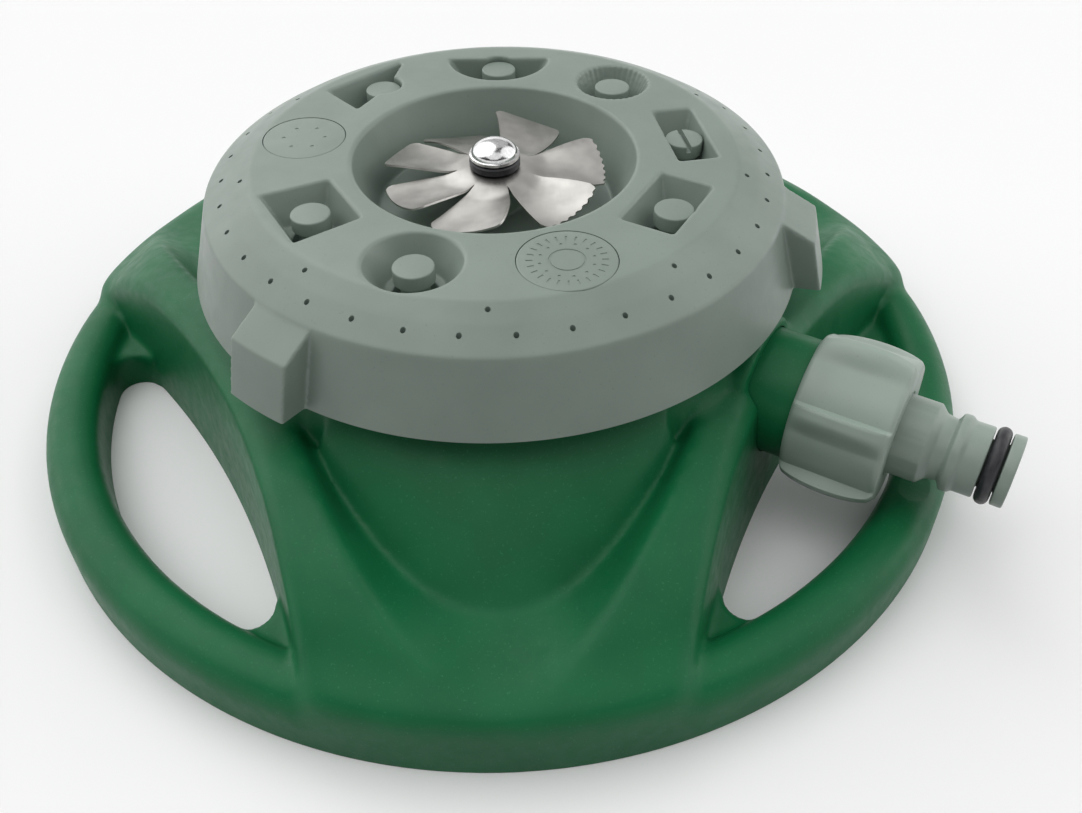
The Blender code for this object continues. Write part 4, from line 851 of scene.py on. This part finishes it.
def dial_piece():
    """The dial's upper side as one fine skin, its underside cut out afterwards."""
    over = DIAL_TOP_Z + WALL
    blank = piece("blank", *dial_blank())
    for name, outline in pattern_outlines().items():
        middle = polar(PLUG_PCR, pattern_azimuth(name))
        combine(blank, *pocket(name, outline))
        combine(blank, *rod(PLUG_R + GAP, POCKET_FLOOR_Z - WELL_DEPTH, over, 48, middle))
    dial = piece("grey_dial", *merged([shape_of(blank)] + lobes()))
    bpy.data.objects.remove(blank, do_unlink=True)
    modified(dial, "REMESH", mode="VOXEL", voxel_size=DIAL_VOXEL)
    soften(dial, 2)
    modified(dial, "DECIMATE", ratio=DIAL_KEPT)
    seat_z = DIAL_TOP_Z - INSERT_T - GAP
    cuts = [rod(radius + INSERT_GAP, seat_z, over, 96, polar(INSERT_PCR, pattern_azimuth(name)))
            for name, radius in INSERTS]
    cuts += [rod(JET_R, BEVEL[1] - JET_DEPTH, over, 12, place)
             for place in around(OUTER_JETS, OUTER_JET_PCR, OUTER_JET_AZ)
             + around(INNER_JETS, INNER_JET_PCR, INNER_JET_AZ)]
    cuts += [rod(FLOOR_JET_R, BOWL_FLOOR_Z - FLOOR_JET_DEPTH, BOWL_FLOOR_Z + WALL, 24, place)
             for place in around(FLOOR_JETS, FLOOR_JET_PCR, 0)]
    combine(dial, *merged(cuts))
    inner_r = SKIRT[0] - SKIRT_T
    under = [(inner_r, SKIRT[1] - MM), (inner_r, SKIRT[1]), (PLATE_R + GAP, PLATE_TOP_Z + GAP)]
    combine(dial, *turned(under, 120))
    combine(dial, *rod(2 * SKIRT[0], SKIRT[1] - 14 * MM, SKIRT[1], 4))
    return shade(dial, 50)


def plug_pieces():
    """Each plug with the name of the node that it shows."""
    made = []
    for name in pattern_outlines():
        azimuth = pattern_azimuth(name)
        low = POCKET_FLOOR_Z - WELL_DEPTH
        profile = [(PLUG_STEM_R, low), (PLUG_STEM_R, PLUG_CAP_Z), (PLUG_R, PLUG_CAP_Z),
                   (PLUG_R, PLUG_TOP_Z), (0, PLUG_TOP_Z)]
        profile = rounded(profile, PLUG_CHAMFER)[:-1] + [(0.3 * PLUG_R, PLUG_TOP_Z)]
        plug = piece("grey_plug_" + name, *turned(profile, 64, polar(PLUG_PCR, azimuth)))
        if name == "slot":
            reach = PLUG_R + MM
            slot = four_sided(PLUG_PCR - PLUG_SLOT_HALF, PLUG_PCR + PLUG_SLOT_HALF, reach, reach)
            combine(plug, *loft([placed(slot, azimuth, z)
                                 for z in (PLUG_TOP_Z - PLUG_SLOT_DEPTH, PLUG_TOP_Z + MM)]))
        made.append((shade(plug), "plug_" + name))
    return made


def slots_round(middle, radius, count, length, width, low, high):
    """Short radial slots in a circle, as cutters."""
    slot = four_sided(radius - length / 2, radius + length / 2, width / 2, width / 2)
    shapes = []
    for k in range(count):
        a = 2 * pi * k / count
        plan = [(middle[0] + x * cos(a) - y * sin(a), middle[1] + x * sin(a) + y * cos(a))
                for x, y in slot]
        shapes.append(loft([[(x, y, z) for x, y in plan] for z in (low, high)]))
    return shapes


def ring_cutter(middle, radius, width, low, high):
    profile = [(radius + width / 2, low), (radius + width / 2, high), (radius - width / 2, high),
               (radius - width / 2, low)]
    return turned(profile, 72, middle, loop=True)


def dots_round(middle, radius, pcr, count, low, high, start=0.0):
    return [rod(radius, low, high, 10, (middle[0] + x, middle[1] + y))
            for x, y in around(count, pcr, start)]


def insert_pieces():
    """Each disc with the name of the node that it shows."""
    low, over, marks = DIAL_TOP_Z - INSERT_T, DIAL_TOP_Z + MM, DIAL_TOP_Z - MARK_DEPTH
    made = []
    for name, radius in INSERTS:
        middle = polar(INSERT_PCR, pattern_azimuth(name))
        profile = rounded([(radius, low), (radius, DIAL_TOP_Z), (0, DIAL_TOP_Z)], 0.3 * MM)
        profile = profile[:-1] + [(0.5 * MM, DIAL_TOP_Z)]
        disc = piece("grey_" + name + "_insert", *turned(profile, 96, middle))
        if name == "shower":
            cuts = [ring_cutter(middle, SHOWER_RING_R, SHOWER_RING_WIDTH, marks, over)]
            cuts += slots_round(middle, SHOWER_SLOT_PCR, SHOWER_SLOTS, SHOWER_SLOT_LENGTH,
                                SHOWER_SLOT_WIDTH, marks, over)
            cuts += dots_round(middle, SHOWER_DOT_R, SHOWER_DOT_PCR, SHOWER_DOTS, marks, over,
                               SHOWER_DOT_TURN)
        else:
            cuts = dots_round(middle, MIST_HOLE_R, MIST_HOLE_PCR, MIST_HOLES, marks, over)
        combine(disc, *merged(cuts))
        made.append((shade(disc), name + "_insert"))
    return made


# Nut and tail
def fin_rise(turn):
    """Share of the ratchet-shaped wing's height, at a share of the way to the next wing."""
    up, down = smooth_share(turn, 0, NUT_FIN_FACE), smooth_share(turn, NUT_FIN_CREST, NUT_FIN_FALL)
    return up * (1 - down)


def nut_piece():
    per_fin, count = 48, 36
    steps = per_fin * NUT_FINS
    end = NUT_START + NUT_LENGTH
    rings = []
    for k in range(count + 1):
        share = 0.5 - 0.5 * cos(pi * k / count)
        arch = sqrt(max(1 - (2 * share - 1) ** 2, 0))
        edge = NUT_END_ROUND * (1 - sqrt(share_of(min(share, 1 - share), 0, NUT_END_SHARE)))
        ring = []
        for j in range(steps):
            a = NUT_FIN_AT + 2 * pi * j / steps
            rise = (NUT_FIN_R - NUT_BODY_R) * fin_rise(j % per_fin / per_fin)
            r = NUT_BODY_R - edge + rise * arch
            ring.append((r * cos(a), r * sin(a), NUT_START + share * NUT_LENGTH))
        rings.append(ring)
    hole, bore = TAIL_COLLAR_R + GAP, THREAD_R + GAP
    wall = end - NUT_END_WALL
    rings += [circle(r, z, steps, start=NUT_FIN_AT)
              for r, z in ((hole + GAP, end), (hole, end - GAP), (hole, wall), (bore, wall),
                           (bore, NUT_START))]
    return shade(piece("grey_nut", *loft(rings, loop=True), along_inlet()), 40)


def tail_piece():
    steps = 24 * TAIL_FLUTES
    flange_end = NUT_START + NUT_LENGTH - NUT_END_WALL - GAP
    flange = flange_end - TAIL_FLANGE_T
    groove_r = O_RING_OUT_R - 2 * O_RING_WIRE_R - GAP
    groove = O_RING_WIRE_R + GAP
    step = 0.8 * MM
    ridge_low, ridge_high = TAIL_RIDGE
    outside = [(TAIL_FLANGE_R, flange), (TAIL_FLANGE_R, flange_end), (TAIL_COLLAR_R, flange_end),
               (TAIL_COLLAR_R, TAIL_COLLAR_END),
               (TAIL_NECK_R + 0.4 * MM, TAIL_COLLAR_END + 2 * step),
               (TAIL_NECK_R, ridge_low - step), (TAIL_RIDGE_R, ridge_low),
               (TAIL_RIDGE_R, ridge_high), (TAIL_BARREL_R, ridge_high + step),
               (TAIL_BARREL_R, O_RING_AT - groove),
               (groove_r, O_RING_AT - groove), (groove_r, O_RING_AT + groove),
               (TAIL_BARREL_R, O_RING_AT + groove), (TAIL_BARREL_R, TAIL_TIP),
               (TAIL_BORE_R, TAIL_TIP), (TAIL_BORE_R, flange)]
    rings = []
    for r, station in rounded(outside, TAIL_ROUND):
        fluted = smooth_share(station, flange_end + MM, flange_end + 4 * MM)
        fluted *= 1 - smooth_share(station, TAIL_COLLAR_END - 1.5 * MM, TAIL_COLLAR_END)
        if r < TAIL_NECK_R:
            fluted = 0.0
        rings.append([(p[0] * s, p[1] * s, p[2]) for p, s in zip(
            circle(r, station, steps), [1 - fluted * flute(k / steps) / r for k in range(steps)])])
    return shade(piece("grey_hose_tail", *loft(rings, loop=True), along_inlet()), 40)


def flute(turn):
    """Depth of the collar's flutes at a share of the way round."""
    away = abs((turn * TAIL_FLUTES + 0.5) % 1 - 0.5)
    return TAIL_FLUTE_DEPTH * (1 - smooth_share(away, *TAIL_FLUTE_SIDES))


def o_ring_piece():
    wire = [(O_RING_OUT_R - O_RING_WIRE_R * (1 - cos(a)), O_RING_AT + O_RING_WIRE_R * sin(a))
            for a in [2 * pi * k / 24 for k in range(24)]]
    return shade(piece("black_o_ring", *turned(wire, 96, loop=True), along_inlet()))


# Spinner
def hub_height(r):
    """Middle of the sheet, which is dished up under the washer."""
    return ROTOR_Z + HUB_RISE * (1 - smooth_share(r, ROTOR_WASHER_R, HUB_SLOPE_END))


def rotor_piece():
    across, out = 32, 24
    steps = BLADES * across
    verts = []
    for r in (ROTOR_HOLE_R, ROTOR_WASHER_R + GAP, ROTOR_HUB_R):
        verts += [(*polar(r, BLADE_AZ + 2 * pi * (k - across / 2) / steps), hub_height(r))
                  for k in range(steps)]
    faces = [face[::-1] for face in rings_to_faces(3, steps)]
    for blade in range(BLADES):
        middle = BLADE_AZ + 2 * pi * blade / BLADES
        row = [2 * steps + (blade * across + k) % steps for k in range(across + 1)]
        for level in range(1, out + 1):
            share = level / out
            new_row = []
            for k in range(across + 1):
                place = 2 * k / across - 1
                tip = ROTOR_R - BLADE_CORNER * max(abs(place) - 0.8, 0) ** 2 / 0.04
                if level == out and blade in TOOTHED and k % 4 in (0, 1):
                    tip -= TOOTH
                r = ROTOR_HUB_R + (tip - ROTOR_HUB_R) * share
                half = pi / BLADES * (1 - BLADE_SLOT * share) - BLADE_TRIM * sqrt(share) / r
                at = middle + BLADE_LEANS[blade] * share + place * half
                twist = share * (2 - share)
                z = hub_height(r) + BLADE_PITCH * place * half * r * twist
                z += BLADE_CAMBER * twist * (place * place - 0.4)
                if blade == BENT_BLADE:
                    z -= BENT_DOWN * share * share
                new_row.append(len(verts))
                verts.append((*polar(r, at), z))
            faces += [(row[k], new_row[k], new_row[k + 1], row[k + 1]) for k in range(across)]
            row = new_row
    sheet = piece("aluminium_rotor", verts, faces)
    modified(sheet, "SOLIDIFY", thickness=ROTOR_T, offset=0, use_even_offset=True)
    return shade(sheet, 50)


def screw_head_piece():
    head = ROTOR_WASHER_Z + ROTOR_WASHER_T + GAP
    lip = 0.25 * ROTOR_HEAD_H
    profile = [(ROTOR_SCREW_R, POST_TOP_Z - 5 * MM), (ROTOR_SCREW_R, head),
               (ROTOR_HEAD_R - 0.2 * MM, head), (ROTOR_HEAD_R, head + 0.2 * MM),
               (ROTOR_HEAD_R, head + lip - 0.1 * MM), (ROTOR_HEAD_R - 0.35 * MM, head + lip)]
    profile += [((ROTOR_HEAD_R - 0.4 * MM) * cos(a), head + lip + (ROTOR_HEAD_H - lip) * sin(a))
                for a in [pi / 2 * (k + 1) / 17 for k in range(16)]]
    return shade(piece("chrome_rotor_screw", *turned(profile, 96)), 40)


def washer_piece():
    low, top = hub_height(0) + ROTOR_T / 2 + GAP, ROTOR_WASHER_Z + ROTOR_WASHER_T
    hole = ROTOR_SCREW_R + GAP
    chamfer = 0.3 * MM
    profile = [(ROTOR_HOLE_R, low), (ROTOR_WASHER_R - chamfer, low),
               (ROTOR_WASHER_R, low + chamfer), (ROTOR_WASHER_R, top - chamfer),
               (ROTOR_WASHER_R - chamfer, top), (hole, top), (hole, ROTOR_WASHER_Z + chamfer),
               (ROTOR_HOLE_R, ROTOR_WASHER_Z + chamfer)]
    return shade(piece("black_rotor_washer", *turned(profile, 64, loop=True)))


# Materials
def set_inputs(node, values):
    for name, value in values.items():
        node.inputs[name].default_value = value


class Finish:
    """A Principled material with its patterns in the object's own coordinates."""

    def __init__(self, name, colour, roughness, metallic=0.0, specular=0.5):
        self.material = bpy.data.materials.new(name)
        self.material.use_nodes = True
        self.nodes = self.material.node_tree.nodes
        self.link = self.material.node_tree.links.new
        self.shader = self.nodes["Principled BSDF"]
        self.colour = colour
        set_inputs(self.shader, {"Base Color": (*colour, 1), "Roughness": roughness,
                                 "Metallic": metallic, "Specular IOR Level": specular})
        self.place = self.nodes.new("ShaderNodeTexCoord").outputs["Object"]
        self.heights = []

    def noise(self, size, detail=3.0, rough=0.5, stretch=None):
        """Noise whose features are about this size in metres."""
        texture = self.nodes.new("ShaderNodeTexNoise")
        set_inputs(texture, {"Scale": 1 / size, "Detail": detail, "Roughness": rough})
        where = self.place
        if stretch:
            mapping = self.nodes.new("ShaderNodeMapping")
            set_inputs(mapping, {"Scale": stretch})
            self.link(where, mapping.inputs["Vector"])
            where = mapping.outputs["Vector"]
        self.link(where, texture.inputs["Vector"])
        return texture.outputs["Fac"]

    def levels(self, value, low, high, out_low=0.0, out_high=1.0):
        step = self.nodes.new("ShaderNodeMapRange")
        set_inputs(step, {"From Min": low, "From Max": high, "To Min": out_low, "To Max": out_high})
        self.link(value, step.inputs["Value"])
        return step.outputs["Result"]

    def mix(self, share, first, second):
        """Colour between two colours; each is a tuple or a socket."""
        step = self.nodes.new("ShaderNodeMix")
        step.data_type = "RGBA"
        self.link(share, step.inputs["Factor"])
        for name, colour in (("A", first), ("B", second)):
            socket = [s for s in step.inputs if s.name == name and s.type == "RGBA"][0]
            if isinstance(colour, tuple):
                socket.default_value = (*colour, 1)
            else:
                self.link(colour, socket)
        return [s for s in step.outputs if s.type == "RGBA"][0]

    def toned(self, factor):
        return tuple(min(c * factor, 1.0) for c in self.colour)

    def paint(self, colour):
        self.link(colour, self.shader.inputs["Base Color"])

    def roughen(self, value):
        self.link(value, self.shader.inputs["Roughness"])

    def bump(self, height, depth, before=None):
        """Relief of a real depth in metres, over an earlier one if given."""
        step = self.nodes.new("ShaderNodeBump")
        set_inputs(step, {"Strength": 1.0, "Distance": depth})
        self.link(height, step.inputs["Height"])
        if before is not None:
            self.link(before, step.inputs["Normal"])
        self.link(step.outputs["Normal"], self.shader.inputs["Normal"])
        return step.outputs["Normal"]


def green_plastic():
    look = Finish("green_plastic", GREEN, 0.42, specular=0.26)
    blotch = look.levels(look.noise(18 * MM, 2), 0.35, 0.65)
    fleck = look.levels(look.noise(0.5 * MM, 2, 0.7), 0.62, 0.74)
    body = look.mix(blotch, look.toned(0.92), look.toned(1.08))
    look.paint(look.mix(fleck, body, (0.022, 0.18, 0.075)))
    look.roughen(look.levels(look.noise(3 * MM, 4), 0.3, 0.7, 0.38, 0.50))
    fine = look.bump(look.noise(0.45 * MM, 3, 0.6), 0.012 * MM)
    look.bump(look.noise(5 * MM, 2), 0.03 * MM, fine)
    return look.material


def grey_plastic(tone=1.0):
    look = Finish("grey_plastic", tuple(c * tone for c in GREY), 0.36)
    blotch = look.levels(look.noise(14 * MM, 3), 0.35, 0.65)
    speck = look.levels(look.noise(0.6 * MM, 2, 0.6), 0.66, 0.76)
    body = look.mix(blotch, look.toned(0.95), look.toned(1.04))
    look.paint(look.mix(speck, body, look.toned(0.86)))
    look.roughen(look.levels(look.noise(4 * MM, 4), 0.3, 0.7, 0.30, 0.42))
    fine = look.bump(look.noise(0.5 * MM, 3, 0.5), 0.006 * MM)
    look.bump(look.noise(6 * MM, 2), 0.03 * MM, fine)
    return look.material


def black_rubber():
    look = Finish("black_rubber", BLACK, 0.42)
    wear = look.levels(look.noise(2 * MM, 4), 0.4, 0.7)
    look.paint(look.mix(wear, BLACK, (0.03, 0.03, 0.034)))
    look.roughen(look.levels(look.noise(1.2 * MM, 3), 0.3, 0.7, 0.34, 0.52))
    look.bump(look.noise(0.3 * MM, 2), 0.008 * MM)
    return look.material


def aluminium():
    look = Finish("aluminium", ALUMINIUM, 0.36, metallic=1.0)
    haze = look.levels(look.noise(6 * MM, 2), 0.35, 0.65)
    look.paint(look.mix(haze, look.toned(1.12), look.toned(0.86)))
    streak = look.noise(0.5 * MM, 3, 0.6, stretch=(1, 0.1, 1))
    look.roughen(look.levels(streak, 0.3, 0.7, 0.32, 0.42))
    look.bump(streak, 0.0015 * MM)
    return look.material


def chrome():
    look = Finish("chrome", CHROME, 0.16, metallic=1.0)
    scuff = look.levels(look.noise(0.8 * MM, 4), 0.4, 0.8)
    look.paint(look.mix(scuff, CHROME, (0.6, 0.6, 0.6)))
    look.roughen(look.levels(look.noise(1.5 * MM, 3), 0.3, 0.7, 0.10, 0.24))
    look.bump(look.noise(1.6 * MM, 2), 0.015 * MM)
    return look.material


def white_plastic():
    look = Finish("white_plastic", WHITE, 0.45)
    look.paint(look.mix(look.levels(look.noise(3 * MM), 0.3, 0.7), WHITE, (0.66, 0.66, 0.62)))
    look.bump(look.noise(0.6 * MM), 0.006 * MM)
    return look.material


def brass():
    look = Finish("brass", BRASS, 0.3, metallic=1.0)
    look.paint(look.mix(look.levels(look.noise(2 * MM), 0.3, 0.7), BRASS, (0.58, 0.42, 0.18)))
    look.bump(look.noise(0.5 * MM), 0.006 * MM)
    return look.material


# Stage
def camera():
    data = bpy.data.cameras.new("camera")
    data.sensor_fit = "HORIZONTAL"
    data.sensor_width = SENSOR_MM
    data.lens = CAMERA_FOCAL_PX * SENSOR_MM / PHOTO_W
    data.clip_start = 0.01
    data.clip_end = 50
    data.dof.use_dof = False
    obj = linked("camera", data)
    forward = Vector((-sin(CAMERA_YAW) * cos(CAMERA_PITCH), cos(CAMERA_YAW) * cos(CAMERA_PITCH),
                      -sin(CAMERA_PITCH)))
    level = Vector((cos(CAMERA_YAW), sin(CAMERA_YAW), 0))
    upright = level.cross(forward)
    right = cos(CAMERA_ROLL) * level + sin(CAMERA_ROLL) * upright
    up = -sin(CAMERA_ROLL) * level + cos(CAMERA_ROLL) * upright
    turn = Matrix((right, up, -forward)).transposed().to_4x4()
    obj.matrix_world = Matrix.Translation(CAMERA_AT) @ turn
    bpy.context.scene.camera = obj


def sun(name, azimuth, elevation, share, angle):
    """Soft light from far off. Shares are of a level surface's light and add up to about 1."""
    data = bpy.data.lights.new(name, "SUN")
    data.angle = radians(angle)
    data.energy = pi * share / sin(radians(elevation))
    a, e = radians(azimuth), radians(elevation)
    obj = linked(name, data)
    obj.location = (cos(a) * cos(e), sin(a) * cos(e), sin(e))
    obj.rotation_mode = "QUATERNION"
    obj.rotation_quaternion = (-obj.location).to_track_quat("-Z", "Y")


def seen_rays(nodes, link):
    """1 for the rays that show a thing to the camera, directly, mirrored or through glass."""
    rays = nodes.new("ShaderNodeLightPath").outputs
    seen = rays["Is Camera Ray"]
    for name in ("Is Glossy Ray", "Is Transmission Ray"):
        either = nodes.new("ShaderNodeMath")
        either.operation = "MAXIMUM"
        link(seen, either.inputs[0])
        link(rays[name], either.inputs[1])
        seen = either.outputs["Value"]
    return seen


def world():
    """White where it is seen. Mirrored, it is white low down only, as in a light tent."""
    made = bpy.data.worlds.new("world")
    made.use_nodes = True
    bpy.context.scene.world = made
    nodes, link = made.node_tree.nodes, made.node_tree.links.new
    background = nodes["Background"]
    set_inputs(background, {"Color": (1, 1, 1, 1)})
    parts = nodes.new("ShaderNodeSeparateXYZ")
    link(nodes.new("ShaderNodeTexCoord").outputs["Generated"], parts.inputs["Vector"])
    fade = nodes.new("ShaderNodeMapRange")
    set_inputs(fade, {"From Min": sin(HORIZON_LOW), "From Max": sin(HORIZON_HIGH)})
    camera_rays = nodes.new("ShaderNodeLightPath").outputs["Is Camera Ray"]
    for end, dim, rays in (("To Min", WORLD_LOW, seen_rays(nodes, link)),
                           ("To Max", WORLD_HIGH, camera_rays)):
        level = nodes.new("ShaderNodeMapRange")
        set_inputs(level, {"To Min": dim, "To Max": 1.0})
        link(rays, level.inputs["Value"])
        link(level.outputs["Result"], fade.inputs[end])
    link(parts.outputs["Z"], fade.inputs["Value"])
    link(fade.outputs["Result"], background.inputs["Strength"])


def floor():
    """White where it is seen or mirrored; it throws less light back up."""
    corners = [(-1, -1), (1, -1), (1, 1), (-1, 1)]
    ground = piece("floor", [(x * FLOOR_HALF, y * FLOOR_HALF, -FLOOR_DROP) for x, y in corners],
                   [(0, 1, 2, 3)])
    pale = Finish("floor", PALE, 0.9, specular=0.0)
    seen = seen_rays(pale.nodes, pale.link)
    white = pale.mix(pale.levels(pale.noise(0.3), 0.3, 0.7), PALE, pale.toned(0.99))
    pale.paint(pale.mix(seen, FLOOR_BOUNCE, white))
    ground.data.materials.append(pale.material)


def dress(obj, node, body, material):
    obj.data.materials.clear()
    obj.data.materials.append(material)
    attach(obj, body)
    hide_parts(node)


def main():
    for old in list(bpy.data.objects):
        bpy.data.objects.remove(old, do_unlink=True)
    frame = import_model()
    camera()
    world()
    floor()
    for row in SUNS:
        sun(*row)
    looks = {"green_plastic": green_plastic(), "grey_plastic": grey_plastic(),
             "black_rubber": black_rubber(), "white_plastic": white_plastic(),
             "aluminium": aluminium(), "steel": chrome(), "brass": brass()}
    slots = {row["node"]: row["material_slot"] for row in frame["record"]["subparts"]}
    for name, node in frame["nodes"].items():
        node.data.materials.clear()
        node.data.materials.append(looks[slots[name]])
    made = [(base_piece(), "base_housing", "base", "green_plastic"),
            (water_way_piece(), "water_way", "base", "green_plastic"),
            (dial_piece(), "dial_shell", "dial", "grey_plastic")]
    made += [(obj, node, "dial", "grey_plastic") for obj, node in plug_pieces() + insert_pieces()]
    made += [(nut_piece(), "tap_nut", "nut", "grey_plastic"),
             (tail_piece(), "hose_tail", "base", "grey_plastic"),
             (o_ring_piece(), "tail_o_ring", "base", "black_rubber"),
             (rotor_piece(), "rotor", "spinner", "aluminium"),
             (screw_head_piece(), "rotor_screw", "dial", "steel"),
             (washer_piece(), "rotor_washer", "dial", "black_rubber")]
    own = {"tap_nut": grey_plastic(NUT_TONE), "hose_tail": grey_plastic(TAIL_TONE)}
    for obj, node, body, slot in made:
        dress(obj, node, body, own.get(node, looks[slot]))
    bpy.context.scene.view_settings.view_transform = "Standard"


main()
